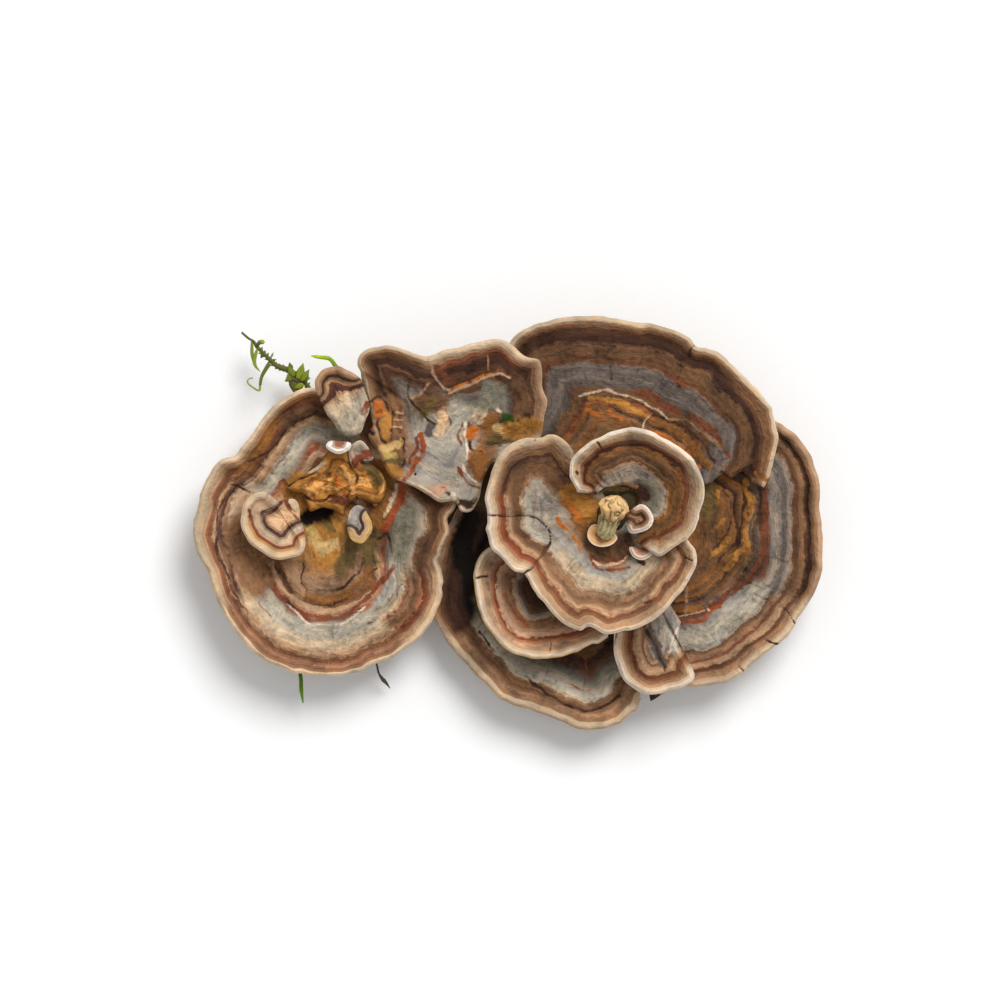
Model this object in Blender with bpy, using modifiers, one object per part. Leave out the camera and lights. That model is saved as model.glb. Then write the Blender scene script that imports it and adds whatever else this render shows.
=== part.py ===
"""Turkey tail fungus: two rosettes of brackets that grew together, with moss and grass caught in them.

Run with: blender --background --python part.py

The tables are in millimetres and Blender gets metres. +Z is up. The cluster rests on the flat cut of its
base at Z = 0, and its origin is at the middle of its length and width. Every rim is listed clockwise as
seen from above. A point is (x, y, height of the upper face).
"""

import math

import bmesh
import bpy
import numpy as np

MM = 0.001  # one millimetre, in metres
WELD = 0.000001  # points closer than this are one

# Sizes that drive the cluster, in millimetres.
CAP_THICKNESS = 1.9  # of a large cap, where it leaves the stem
SMALL_THICKNESS = 1.1  # of a small cap
RIM_SHARE = 0.5  # a rim's thickness, as a share of the cap's
LEDGE = 0.22  # how far a growth ledge stands up
STEM = (20.6, 1.6)  # the axis that the caps of the right rosette stand round
STEM_GAP = 5.6  # from that axis to where the caps begin
SPLINE_STEPS = 16  # straight pieces that a curve is measured in, between two of its points

# Colours, linear RGB.
TAN = (0.42, 0.27, 0.17)
GREY = (0.30, 0.27, 0.25)
BROWN = (0.16, 0.08, 0.05)
OCHRE = (0.45, 0.22, 0.07)
CREAM = (0.66, 0.50, 0.36)
MOSS = (0.05, 0.09, 0.02)
GRASS = (0.16, 0.32, 0.04)


def start_clean():
    """Empties the scene and returns the collections for the parts and for what cuts them."""
    for old in list(bpy.data.objects):
        bpy.data.objects.remove(old, do_unlink=True)
    collections = []
    for name in ("turkey_tail_fungus", "cutters"):
        collection = bpy.data.collections.new(name)
        bpy.context.scene.collection.children.link(collection)
        collections.append(collection)
    return collections


PARTS, CUTTERS = start_clean()


def finish_of(name, colour):
    """A matt material in one colour."""
    material = bpy.data.materials.new(name)
    material.use_nodes = True
    shader = material.node_tree.nodes["Principled BSDF"]
    shader.inputs["Base Color"].default_value = (*colour, 1)
    shader.inputs["Roughness"].default_value = 0.85
    shader.inputs["Metallic"].default_value = 0
    return material


def smooth_curve(points, count, closed=False):
    """Evenly spaced points on a Catmull-Rom curve through the given ones."""
    points = np.array(points, float)
    if closed:
        ends = points[-1:], points[:2]
    else:
        ends = 2 * points[:1] - points[1:2], 2 * points[-1:] - points[-2:-1]
    guides = np.vstack([ends[0], points, ends[1]])
    step = np.linspace(0, 1, SPLINE_STEPS, endpoint=False)[:, None]
    spans = []
    for a, b, c, d in zip(guides, guides[1:], guides[2:], guides[3:]):
        square = (2 * a - 5 * b + 4 * c - d) * step**2
        cube = (3 * b - a - 3 * c + d) * step**3
        spans.append(0.5 * (2 * b + (c - a) * step + square + cube))
    dense = np.vstack([*spans, guides[-2:-1]])
    run = np.append(0, np.cumsum(np.linalg.norm(np.diff(dense, axis=0), axis=1)))
    places = np.linspace(0, run[-1], count)
    return np.stack([np.interp(places, run, dense[:, axis]) for axis in range(3)], axis=1)


def stem_arc(start, end, height, gap=STEM_GAP):
    """Points beside the right rosette's stem, clockwise from one bearing to the other, in degrees."""
    bearings = np.radians(np.linspace(start, end, 5))
    return [(STEM[0] + gap * math.cos(b), STEM[1] + gap * math.sin(b), height) for b in bearings]


def cap(name, colour, rim, root, grid, thickness=CAP_THICKNESS, bowl=1.5):
    """A cap: a sheet from its root out to its rim, with growth ledges, thinning towards the rim.

    root is one point for a cap that grows all round it, or the points of the edge where the cap is joined
    on. grid is the number of faces along the rim and from root to rim, and bowl bends the way up.
    """
    along, across = grid
    closed = isinstance(root, tuple)
    outer = smooth_curve(rim, along + 1, closed)
    inner = np.tile(root, (along + 1, 1)) if closed else smooth_curve(root, along + 1)
    work = bmesh.new()
    bmesh.ops.create_grid(work, x_segments=along, y_segments=across, size=1)
    weights = work.verts.layers.deform.verify()
    for vertex in work.verts:
        column = round((vertex.co.x + 1) / 2 * along)
        row = round((vertex.co.y + 1) / 2 * across)
        way = (row / across) ** 0.85
        place = inner[column] + (outer[column] - inner[column]) * way
        place[2] = inner[column][2] + (outer[column][2] - inner[column][2]) * way**bowl
        if row % 2 and row < across:
            place[2] += LEDGE
        vertex.co = place * MM
        vertex[weights][0] = 1 - way**2
    bmesh.ops.remove_doubles(work, verts=work.verts, dist=WELD)
    body = add_mesh(name, work, colour)
    body.vertex_groups.new(name="thick")
    solid = body.modifiers.new("thickness", "SOLIDIFY")
    solid.thickness = thickness * MM
    solid.offset = -1
    solid.vertex_group = "thick"
    solid.thickness_vertex_group = RIM_SHARE
    return body


def add_mesh(name, work, colour):
    """Turns a bmesh into a named object of the cluster."""
    mesh = bpy.data.meshes.new(name)
    work.to_mesh(mesh)
    work.free()
    mesh.shade_smooth()
    mesh.materials.append(finish_of(name, colour))
    body = bpy.data.objects.new(name, mesh)
    PARTS.objects.link(body)
    return body


def as_cutter(body):
    """Moves an object to the shapes that only cut or join others."""
    PARTS.objects.unlink(body)
    CUTTERS.objects.link(body)
    body.hide_render = True
    body.display_type = "WIRE"


def combine(target, operation, tool):
    as_cutter(tool)
    change = target.modifiers.new(operation.lower(), "BOOLEAN")
    change.operation = operation
    change.solver = "EXACT"
    change.object = tool


# ---------------------------------------------------------------- the base and the stem

CUT_DEPTH = 20.0  # of the block that cuts the base off flat
NECK_TAPER = 0.75  # a neck's radius at its top, as a share of its radius at the foot


def mound(name, centre, radii, tilt=0.0):
    """A rounded lump of base tissue, half above the cut."""
    work = bmesh.new()
    bmesh.ops.create_uvsphere(work, u_segments=12, v_segments=6, radius=1)
    for vertex in work.verts:
        x, y, z = (length * share for length, share in zip(radii, vertex.co))
        turned = (x * math.cos(tilt) - y * math.sin(tilt), x * math.sin(tilt) + y * math.cos(tilt), z)
        vertex.co = [MM * (middle + offset) for middle, offset in zip((*centre, 0), turned)]
    return add_mesh(name, work, OCHRE)


def turned_stem(name, axis, profile, steps=12):
    """A short stem: a profile of (radius, height) pairs, top to bottom, turned about a vertical axis."""
    work = bmesh.new()
    corners = [work.verts.new((radius * MM, 0, height * MM)) for radius, height in profile]
    for upper, lower in zip(corners, corners[1:]):
        work.edges.new((upper, lower))
    body = add_mesh(name, work, OCHRE)
    body.location = (axis[0] * MM, axis[1] * MM, 0)
    turn = body.modifiers.new("turn", "SCREW")
    turn.axis = "Z"
    turn.steps = steps
    turn.render_steps = steps
    turn.use_merge_vertices = True
    turn.merge_threshold = WELD
    return body


def add_neck(body, axis, radius, top, foot):
    """Grows a neck from inside a small cap down to just above the tissue that carries it."""
    profile = [(0, top), (NECK_TAPER * radius, top), (radius, foot), (0, foot)]
    combine(body, "UNION", turned_stem(f"{body.name}_neck", axis, profile, steps=8))


def make_base():
    """The tissue that every cap grows from, cut off flat where it sat on the wood."""
    base = mound("base", (18.5, 2.0), (17.0, 14.0, 4.6))
    combine(base, "UNION", mound("base_left", (-36.6, 4.0), (13.0, 11.5, 4.4)))
    combine(base, "UNION", mound("base_bridge", (-9.0, 7.5), (27.0, 9.0, 4.0), math.radians(-4)))
    right_profile = [(0, 19.0), (2.2, 18.8), (3.2, 17.6), (4.6, 14.0), (4.9, 6.0), (8.0, 1.5), (0, 1.5)]
    combine(base, "UNION", turned_stem("stem_right", STEM, right_profile))
    shoulder_profile = [(0, 19.2), (1.9, 19.0), (2.2, 17.5), (1.6, 13.2), (0, 13.2)]
    combine(base, "UNION", turned_stem("stem_shoulder", (23.7, 4.3), shoulder_profile, steps=8))
    left_profile = [(0, 5.5), (4.0, 5.3), (6.0, 4.2), (8.0, 1.4), (0, 1.4)]
    combine(base, "UNION", turned_stem("stem_left", (-37.4, 3.6), left_profile))
    middle_profile = [(0, 11.9), (2.4, 11.7), (3.2, 10.5), (3.6, 5.0), (5.0, 1.3), (0, 1.3)]
    combine(base, "UNION", turned_stem("stem_middle", (-9.4, 12.2), middle_profile))
    work = bmesh.new()
    bmesh.ops.create_cube(work, size=1)
    for vertex in work.verts:
        vertex.co.x *= 200 * MM
        vertex.co.y *= 120 * MM
        vertex.co.z = (vertex.co.z - 0.5) * CUT_DEPTH * MM
    combine(base, "DIFFERENCE", add_mesh("wood_line", work, OCHRE))


# ---------------------------------------------------------------- the left rosette


def make_left_rosette():
    cap(
        "left_cap",
        TAN,
        rim=[
            (-40.2, 27.2, 12.2),
            (-33.8, 27.0, 11.2),
            (-29.0, 29.0, 11.6),
            (-25.0, 22.0, 10.6),
            (-19.8, 12.6, 10.4),
            (-14.6, 8.2, 10.8),
            (-10.6, 5.0, 11.4),
            (-10.4, 2.8, 11.8),
            (-11.6, 0.4, 11.4),
            (-11.4, -2.2, 11.8),
            (-13.2, -7.4, 11.4),
            (-12.4, -11.4, 12.0),
            (-13.6, -16.8, 11.8),
            (-17.0, -22.2, 12.4),
            (-22.2, -26.4, 12.0),
            (-28.2, -29.4, 12.6),
            (-35.0, -30.8, 12.2),
            (-42.4, -30.2, 12.8),
            (-48.6, -27.8, 12.4),
            (-53.6, -23.4, 13.0),
            (-57.6, -17.6, 12.6),
            (-60.0, -11.4, 13.2),
            (-62.6, -5.8, 12.8),
            (-63.2, -1.4, 13.2),
            (-62.6, 4.0, 13.0),
            (-60.0, 10.0, 12.8),
            (-58.0, 12.8, 13.4),
            (-55.0, 13.8, 12.0),
            (-53.4, 15.8, 12.8),
            (-51.2, 19.0, 13.0),
            (-47.8, 23.0, 12.4),
            (-43.8, 26.0, 12.6),
        ],
        root=(-37.4, 3.6, 8.0),
        grid=(38, 7),
        bowl=1.8,
    )
    heart = cap(
        "left_heart",
        OCHRE,
        rim=[
            (-44.6, 7.2, 10.2),
            (-41.8, 9.2, 11.0),
            (-38.4, 11.8, 11.6),
            (-36.4, 14.6, 12.0),
            (-32.8, 15.0, 12.2),
            (-30.4, 13.0, 11.8),
            (-26.8, 11.4, 11.6),
            (-24.6, 9.0, 11.6),
            (-24.4, 5.6, 11.2),
            (-26.2, 3.8, 10.8),
            (-28.8, 4.4, 11.2),
            (-30.8, 4.6, 11.4),
            (-32.6, 3.2, 11.2),
            (-33.0, 1.0, 10.6),
            (-35.0, 2.2, 11.4),
            (-37.4, 3.0, 11.8),
            (-39.8, 2.2, 11.2),
            (-40.6, 3.6, 11.0),
            (-41.2, 5.6, 11.0),
            (-43.4, 6.0, 10.4),
        ],
        root=(-35.2, 8.2, 12.4),
        grid=(22, 4),
        thickness=1.3,
    )
    add_neck(heart, axis=(-35.6, 7.0), radius=4.0, top=11.7, foot=8.9)
    kidney = cap(
        "kidney_cap",
        CREAM,
        rim=[
            (-49.4, 6.4, 15.6),
            (-47.6, 5.6, 14.8),
            (-46.2, 4.4, 14.0),
            (-44.4, 5.0, 13.6),
            (-42.6, 5.0, 13.4),
            (-41.4, 3.0, 13.0),
            (-41.2, 0.2, 13.2),
            (-40.6, -3.4, 14.4),
            (-41.2, -6.0, 15.2),
            (-43.4, -7.4, 15.6),
            (-46.6, -7.4, 15.8),
            (-49.8, -5.8, 16.0),
            (-52.4, -3.4, 16.0),
            (-53.8, -0.2, 16.2),
            (-53.4, 3.2, 16.0),
            (-51.8, 5.4, 15.8),
        ],
        root=(-44.8, 0.8, 13.4),
        grid=(16, 4),
        thickness=SMALL_THICKNESS,
    )
    add_neck(kidney, axis=(-44.4, 0.9), radius=2.4, top=12.9, foot=9.2)
    thumb = cap(
        "thumb_cap",
        TAN,
        rim=[
            (-32.0, 2.8, 12.8),
            (-30.6, 3.8, 12.6),
            (-29.0, 3.2, 12.8),
            (-27.6, 1.2, 13.4),
            (-27.2, -1.2, 13.6),
            (-28.2, -3.4, 13.6),
            (-29.8, -4.2, 13.6),
            (-31.6, -3.4, 13.4),
            (-32.4, -1.4, 13.2),
            (-32.4, 1.0, 13.0),
        ],
        root=(-30.2, 0.2, 12.6),
        grid=(12, 3),
        thickness=SMALL_THICKNESS,
    )
    add_neck(thumb, axis=(-30.2, 0.3), radius=1.4, top=12.1, foot=9.1)
    upper = cap(
        "upper_cap",
        GREY,
        rim=[
            (-34.0, 18.2, 14.2),
            (-35.6, 20.4, 14.8),
            (-37.0, 22.4, 15.4),
            (-38.2, 25.0, 16.2),
            (-39.2, 27.2, 16.6),
            (-38.6, 29.2, 16.8),
            (-37.0, 30.8, 17.0),
            (-34.2, 31.4, 17.2),
            (-32.0, 31.0, 17.0),
            (-30.4, 29.8, 16.8),
            (-29.2, 28.2, 16.6),
            (-28.4, 25.8, 16.2),
            (-27.8, 22.8, 15.6),
            (-28.6, 20.2, 15.0),
            (-29.6, 18.0, 14.6),
            (-31.8, 17.2, 14.2),
        ],
        root=(-33.0, 24.0, 14.6),
        grid=(16, 4),
        thickness=SMALL_THICKNESS,
    )
    add_neck(upper, axis=(-32.6, 21.2), radius=1.8, top=14.0, foot=10.8)
    cap(
        "hanging_lobe",
        GREY,
        rim=[
            (-31.2, 16.0, 13.6),
            (-29.6, 16.6, 13.8),
            (-28.2, 15.4, 13.8),
            (-27.0, 13.2, 13.6),
            (-27.6, 12.4, 13.4),
            (-29.4, 12.2, 13.4),
            (-31.0, 11.0, 13.4),
            (-32.0, 12.8, 13.4),
            (-32.2, 14.6, 13.4),
        ],
        root=(-29.8, 14.2, 13.4),
        grid=(10, 2),
        thickness=SMALL_THICKNESS,
    )
    lip = cap(
        "white_lip",
        CREAM,
        rim=[
            (-36.6, 15.4, 15.6),
            (-35.8, 16.4, 15.4),
            (-33.6, 16.4, 15.2),
            (-31.6, 16.0, 15.6),
            (-31.8, 14.8, 15.8),
            (-33.0, 14.0, 15.8),
            (-34.4, 13.8, 15.8),
            (-35.8, 14.4, 15.8),
        ],
        root=(-34.0, 15.4, 15.2),
        grid=(10, 2),
        thickness=SMALL_THICKNESS,
    )
    add_neck(lip, axis=(-34.4, 14.9), radius=0.8, top=14.7, foot=12.6)


# ---------------------------------------------------------------- the caps between the rosettes


def make_middle_cap():
    cap(
        "middle_cap",
        TAN,
        rim=[
            (-28.2, 17.2, 15.0),
            (-27.4, 19.8, 14.8),
            (-28.0, 23.0, 14.6),
            (-28.8, 26.4, 15.0),
            (-29.6, 28.8, 15.4),
            (-30.0, 30.4, 16.2),
            (-30.8, 32.0, 17.2),
            (-30.0, 34.2, 17.6),
            (-27.6, 35.4, 17.8),
            (-23.8, 35.6, 17.6),
            (-20.2, 34.6, 18.0),
            (-16.2, 33.6, 17.0),
            (-13.0, 34.8, 17.6),
            (-9.4, 35.4, 18.2),
            (-5.0, 36.6, 18.0),
            (-1.2, 36.8, 18.4),
            (1.4, 35.2, 18.4),
            (3.8, 33.2, 18.8),
            (6.2, 32.6, 18.6),
            (6.8, 30.2, 18.8),
            (6.8, 27.4, 18.4),
            (7.8, 24.2, 18.8),
            (7.4, 20.6, 18.0),
            (6.6, 16.8, 17.0),
            (2.6, 13.4, 15.6),
            (-3.0, 12.0, 14.6),
            (-5.0, 8.4, 14.4),
            (-5.8, 5.0, 14.4),
            (-7.4, 2.2, 14.8),
            (-9.6, 2.2, 14.6),
            (-10.8, 4.0, 14.2),
            (-14.2, 4.2, 14.2),
            (-17.8, 6.4, 14.0),
            (-21.4, 8.2, 14.0),
            (-23.8, 9.2, 14.0),
            (-25.0, 11.4, 14.2),
            (-25.8, 13.6, 14.4),
        ],
        root=(-11.8, 18.6, 14.4),
        grid=(40, 5),
    )


# ---------------------------------------------------------------- the right rosette


def make_outer_caps():
    cap(
        "upper_right_cap",
        TAN,
        rim=[
            (-1.8, 27.6, 13.0),
            (-1.2, 33.6, 13.4),
            (1.4, 37.8, 14.0),
            (4.6, 39.6, 14.6),
            (9.4, 41.0, 15.2),
            (16.2, 41.6, 15.0),
            (23.2, 41.0, 15.4),
            (30.2, 39.6, 15.0),
            (35.8, 37.6, 15.6),
            (37.8, 35.8, 14.8),
            (42.2, 34.0, 15.4),
            (46.6, 30.6, 15.2),
            (50.2, 26.4, 15.6),
            (52.8, 22.6, 15.4),
            (54.0, 18.6, 15.8),
            (53.6, 13.6, 15.6),
            (52.4, 9.2, 15.4),
            (51.2, 7.0, 15.2),
        ],
        root=stem_arc(150, 50, 12.2),
        grid=(28, 6),
    )
    cap(
        "right_cap",
        TAN,
        rim=[
            (49.6, 24.2, 11.6),
            (54.2, 20.2, 12.2),
            (57.8, 17.4, 12.6),
            (60.6, 13.4, 12.2),
            (62.2, 8.2, 12.6),
            (62.4, 2.2, 12.2),
            (63.2, -3.4, 12.6),
            (63.0, -8.6, 12.2),
            (61.4, -13.8, 12.6),
            (58.0, -19.8, 12.0),
            (54.2, -24.4, 12.4),
            (49.6, -28.2, 12.0),
            (45.2, -31.2, 12.4),
            (40.2, -33.0, 12.0),
            (35.8, -33.0, 12.0),
            (31.8, -34.2, 11.8),
            (28.4, -36.0, 11.4),
        ],
        root=stem_arc(38, -78, 9.4),
        grid=(26, 6),
    )
    cap(
        "lower_cap",
        TAN,
        rim=[
            (26.4, -35.4, 9.4),
            (25.0, -38.2, 9.8),
            (21.8, -40.4, 9.6),
            (18.2, -41.4, 9.8),
            (15.0, -41.6, 9.6),
            (12.2, -40.8, 9.8),
            (8.8, -39.2, 9.4),
            (4.2, -37.6, 9.8),
            (-1.4, -35.8, 9.4),
            (-4.6, -33.0, 9.6),
            (-8.6, -28.4, 9.2),
            (-13.0, -23.8, 9.4),
            (-15.2, -19.4, 9.0),
            (-16.2, -14.8, 8.6),
            (-15.8, -9.8, 8.4),
            (-14.4, -5.0, 8.2),
            (-12.8, -1.0, 8.2),
            (-10.6, 2.8, 8.2),
        ],
        root=stem_arc(-86, -182, 7.4),
        grid=(26, 6),
    )


def make_inner_caps():
    cap(
        "second_cap",
        TAN,
        rim=[
            (19.8, -23.0, 16.2),
            (17.2, -24.4, 16.6),
            (13.2, -26.0, 16.4),
            (8.2, -27.2, 16.8),
            (3.2, -27.0, 16.4),
            (-0.8, -25.2, 16.8),
            (-4.2, -21.4, 16.4),
            (-6.4, -17.2, 16.8),
            (-7.4, -12.6, 16.6),
            (-6.8, -8.2, 16.8),
            (-5.4, -5.8, 16.6),
            (-4.0, -4.8, 16.2),
        ],
        root=stem_arc(-98, -170, 13.4),
        grid=(18, 5),
        thickness=1.5,
    )
    cap(
        "small_lower_cap",
        TAN,
        rim=[
            (34.4, -19.8, 15.4),
            (34.0, -22.6, 15.2),
            (34.6, -25.0, 15.0),
            (36.0, -27.6, 14.8),
            (37.2, -31.0, 14.6),
            (35.0, -32.8, 14.8),
            (31.2, -34.0, 14.6),
            (27.8, -34.4, 14.8),
            (25.4, -33.6, 14.6),
            (23.0, -31.6, 14.8),
            (21.4, -28.2, 14.6),
            (20.9, -25.4, 15.0),
            (21.3, -22.6, 15.2),
        ],
        root=stem_arc(-55, -82, 13.8),
        grid=(16, 4),
        thickness=SMALL_THICKNESS,
    )


def make_rose():
    cap(
        "rose_cap",
        TAN,
        rim=[
            (33.4, -0.2, 21.4),
            (36.2, -3.6, 23.2),
            (37.6, -7.0, 23.6),
            (36.2, -11.2, 23.4),
            (32.6, -16.0, 23.6),
            (27.8, -20.2, 23.2),
            (22.2, -22.0, 23.6),
            (19.0, -22.6, 23.4),
            (15.8, -20.8, 22.8),
            (14.0, -21.6, 23.2),
            (10.2, -19.8, 23.6),
            (6.4, -16.0, 23.4),
            (3.2, -10.8, 22.8),
            (0.4, -9.8, 23.4),
            (-1.8, -7.4, 23.4),
            (-3.8, -4.8, 23.2),
            (-4.6, -1.8, 23.6),
            (-4.8, 1.2, 22.8),
            (-5.0, 5.0, 23.6),
            (-4.2, 9.6, 23.8),
            (-2.0, 14.0, 23.6),
            (1.4, 16.6, 23.2),
            (5.8, 17.4, 22.8),
            (9.2, 17.6, 23.4),
            (11.8, 15.8, 23.0),
            (13.6, 13.0, 22.2),
        ],
        root=stem_arc(-15, -250, 18.0, gap=3.9),
        grid=(36, 6),
        bowl=1.4,
    )
    cap(
        "upper_rose_cap",
        TAN,
        rim=[
            (15.2, 6.0, 22.4),
            (13.2, 6.4, 24.6),
            (12.0, 9.0, 26.2),
            (12.2, 12.4, 26.8),
            (14.2, 15.0, 27.0),
            (18.4, 17.6, 27.4),
            (22.2, 18.8, 27.2),
            (25.8, 19.2, 27.6),
            (30.6, 17.4, 27.4),
            (35.2, 14.8, 27.6),
            (38.0, 10.6, 27.2),
            (39.2, 6.2, 27.4),
            (38.4, 2.0, 26.8),
            (36.2, -2.6, 26.2),
            (33.2, -5.2, 25.4),
            (30.4, -7.0, 24.6),
            (28.6, -6.0, 23.4),
        ],
        root=[
            (17.4, 5.8, 21.4),
            (19.6, 7.2, 21.2),
            (24.4, 6.8, 21.0),
            (26.4, 3.8, 21.0),
            (26.0, -0.4, 21.0),
            (25.4, -3.8, 21.2),
        ],
        grid=(28, 5),
        thickness=1.5,
        bowl=1.3,
    )


STUB_PATH = [(18.8, -1.8, 21.4), (20.2, 0.8, 23.4), (22.0, 5.2, 25.6)]
STUB_RADIUS = 2.3


def spindle(name, colour, path, radius, faces=(8, 8), ribs=0, knob=0.0):
    """A rounded body that follows a path from foot to tip, ribbed or thicker towards its tip if asked."""
    work = bmesh.new()
    bmesh.ops.create_uvsphere(work, u_segments=faces[0], v_segments=faces[1], radius=1)
    places = smooth_curve(path, faces[1] + 1)
    ahead = np.gradient(places, axis=0)
    ahead /= np.linalg.norm(ahead, axis=1, keepdims=True)
    side = np.cross(ahead, (0, 0, 1))
    side /= np.linalg.norm(side, axis=1, keepdims=True)
    upward = np.cross(ahead, side)
    for vertex in work.verts:
        row = round((0.5 + math.asin(max(-1, min(1, vertex.co.z))) / math.pi) * faces[1])
        bearing = math.atan2(vertex.co.y, vertex.co.x)
        out = radius * math.hypot(vertex.co.x, vertex.co.y) ** 0.6
        out *= 1 + 0.1 * math.cos(ribs * bearing) * (ribs > 0)
        out *= 1 + knob * math.sin(math.pi * max(0, 2 * row / faces[1] - 1))
        ring = side[row] * math.cos(bearing) + upward[row] * math.sin(bearing)
        vertex.co = (places[row] + ring * out) * MM
    return add_mesh(name, work, colour)


def make_rose_heart():
    stub = spindle("centre_stub", CREAM, STUB_PATH, STUB_RADIUS, faces=(14, 8), ribs=7, knob=0.25)
    add_neck(stub, axis=(20.4, 1.4), radius=1.7, top=23.0, foot=19.5)
    cap(
        "amber_lip",
        OCHRE,
        rim=[
            (17.0, -0.2, 20.4),
            (19.4, -0.8, 20.0),
            (21.2, -2.2, 20.4),
            (21.6, -3.2, 21.0),
            (20.4, -4.4, 21.6),
            (18.4, -4.8, 21.8),
            (16.6, -4.2, 21.6),
            (15.6, -2.8, 21.4),
            (15.8, -1.2, 20.8),
        ],
        root=(18.8, -2.4, 20.0),
        grid=(12, 3),
        thickness=0.7,
    )
    cap(
        "cup_lip",
        CREAM,
        rim=[
            (23.6, 2.0, 22.8),
            (25.0, 3.2, 23.2),
            (26.4, 3.8, 23.8),
            (27.8, 3.0, 24.2),
            (28.8, 1.0, 24.4),
            (28.2, -0.8, 24.2),
            (26.4, -1.8, 23.8),
            (24.2, -2.0, 23.4),
            (23.4, -0.2, 22.8),
        ],
        root=(25.6, 0.8, 22.8),
        grid=(12, 3),
        thickness=0.7,
    )
    cap(
        "pink_lip",
        CREAM,
        rim=[
            (24.0, -4.8, 20.4),
            (26.2, -5.0, 20.2),
            (28.6, -5.2, 20.4),
            (28.4, -6.6, 21.0),
            (26.4, -7.4, 21.2),
            (24.6, -6.6, 21.0),
        ],
        root=(26.4, -6.0, 20.5),
        grid=(8, 2),
        thickness=0.6,
    )


# ---------------------------------------------------------------- moss, grass and rootlet


STRAND_RADIUS = 0.45
STRANDS = [
    (
        "upper_blade",
        GRASS,
        [(-34.0, 12.4, 3.3), (-32.8, 22.0, 6.4), (-34.2, 31.2, 9.6), (-37.6, 33.4, 9.8), (-39.6, 33.8, 9.4)],
    ),
    (
        "lower_blade",
        GRASS,
        [(-38.2, -5.0, 3.1), (-40.8, -18.0, 5.0), (-41.8, -30.0, 6.6), (-41.8, -33.6, 6.8), (-41.2, -36.0, 6.6)],
    ),
    (
        "rootlet",
        BROWN,
        [(-32.4, -4.6, 3.1), (-28.6, -18.0, 4.4), (-26.6, -29.0, 4.8), (-25.8, -31.4, 4.4), (-23.8, -33.4, 3.0)],
    ),
]


def strand(name, colour, path, radius=STRAND_RADIUS, points=6):
    """A thin round strand along a path, thinner towards its tip."""
    data = bpy.data.curves.new(name, "CURVE")
    data.dimensions = "3D"
    data.bevel_depth = radius * MM
    data.bevel_resolution = 1
    data.use_fill_caps = True
    line = data.splines.new("POLY")
    line.points.add(points - 1)
    for number, place in enumerate(smooth_curve(path, points)):
        line.points[number].co = (*(place * MM), 1)
        line.points[number].radius = 1 - 0.6 * number / (points - 1)
    data.materials.append(finish_of(name, colour))
    body = bpy.data.objects.new(name, data)
    PARTS.objects.link(body)


SPRIG_STEM = [
    (-36.2, 12.0, 3.6),
    (-38.2, 21.0, 5.2),
    (-41.4, 28.4, 6.6),
    (-47.4, 32.6, 7.0),
    (-50.6, 35.8, 7.2),
    (-53.8, 38.2, 7.4),
]
SPRIG_LEAVES = [
    [(-41.0, 28.0, 6.4), (-43.0, 30.4, 7.2), (-44.4, 31.8, 8.2)],
    [(-42.4, 29.4, 6.6), (-44.0, 28.8, 7.0), (-44.8, 28.2, 7.4)],
    [(-47.4, 32.6, 7.0), (-49.2, 29.4, 7.4), (-51.0, 27.2, 7.6)],
    [(-49.6, 34.6, 7.2), (-51.0, 32.4, 7.6), (-51.2, 30.8, 7.8)],
    [(-47.8, 33.0, 7.0), (-47.6, 34.6, 7.6), (-47.2, 35.8, 8.0)],
]
SPRIG_RADIUS = 0.55
LEAF_RADIUS = 0.45


def make_moss():
    """The sprig: a stem with its longest leaves grown onto it."""
    sprig = spindle("moss_sprig", MOSS, SPRIG_STEM, SPRIG_RADIUS, faces=(6, 10))
    for number, path in enumerate(SPRIG_LEAVES):
        combine(sprig, "UNION", spindle(f"moss_leaf_{number}", MOSS, path, LEAF_RADIUS, faces=(5, 4)))


def make_strands():
    for name, colour, path in STRANDS:
        strand(name, colour, path)


make_base()
make_left_rosette()
make_middle_cap()
make_outer_caps()
make_inner_caps()
make_rose()
make_rose_heart()
make_moss()
make_strands()
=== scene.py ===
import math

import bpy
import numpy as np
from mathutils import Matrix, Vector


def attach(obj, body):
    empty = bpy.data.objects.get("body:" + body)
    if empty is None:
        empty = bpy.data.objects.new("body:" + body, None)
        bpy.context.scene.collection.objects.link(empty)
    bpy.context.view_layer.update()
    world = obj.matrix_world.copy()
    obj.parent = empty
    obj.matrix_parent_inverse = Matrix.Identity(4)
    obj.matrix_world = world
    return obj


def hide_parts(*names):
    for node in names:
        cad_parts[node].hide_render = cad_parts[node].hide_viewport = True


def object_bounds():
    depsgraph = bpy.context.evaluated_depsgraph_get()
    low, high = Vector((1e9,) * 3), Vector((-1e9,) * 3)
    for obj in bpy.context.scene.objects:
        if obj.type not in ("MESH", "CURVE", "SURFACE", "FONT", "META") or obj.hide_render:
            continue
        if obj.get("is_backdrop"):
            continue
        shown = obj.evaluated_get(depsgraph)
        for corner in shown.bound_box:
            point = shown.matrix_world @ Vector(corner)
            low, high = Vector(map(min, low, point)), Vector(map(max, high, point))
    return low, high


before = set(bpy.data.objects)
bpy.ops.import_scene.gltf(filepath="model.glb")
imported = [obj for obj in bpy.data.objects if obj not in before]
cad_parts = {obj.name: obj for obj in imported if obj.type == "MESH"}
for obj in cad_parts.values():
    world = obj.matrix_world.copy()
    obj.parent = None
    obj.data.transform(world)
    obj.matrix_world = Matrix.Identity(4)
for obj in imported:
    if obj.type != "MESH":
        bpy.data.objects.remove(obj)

# %% [markdown]
# # A turkey tail fungus, zone by zone
#
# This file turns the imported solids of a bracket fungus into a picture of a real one. Each cap is grown
# again here as a fine sheet on the same rim and root, and its coloured zones follow the distance to
# its own rim, as they do in nature.

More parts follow.
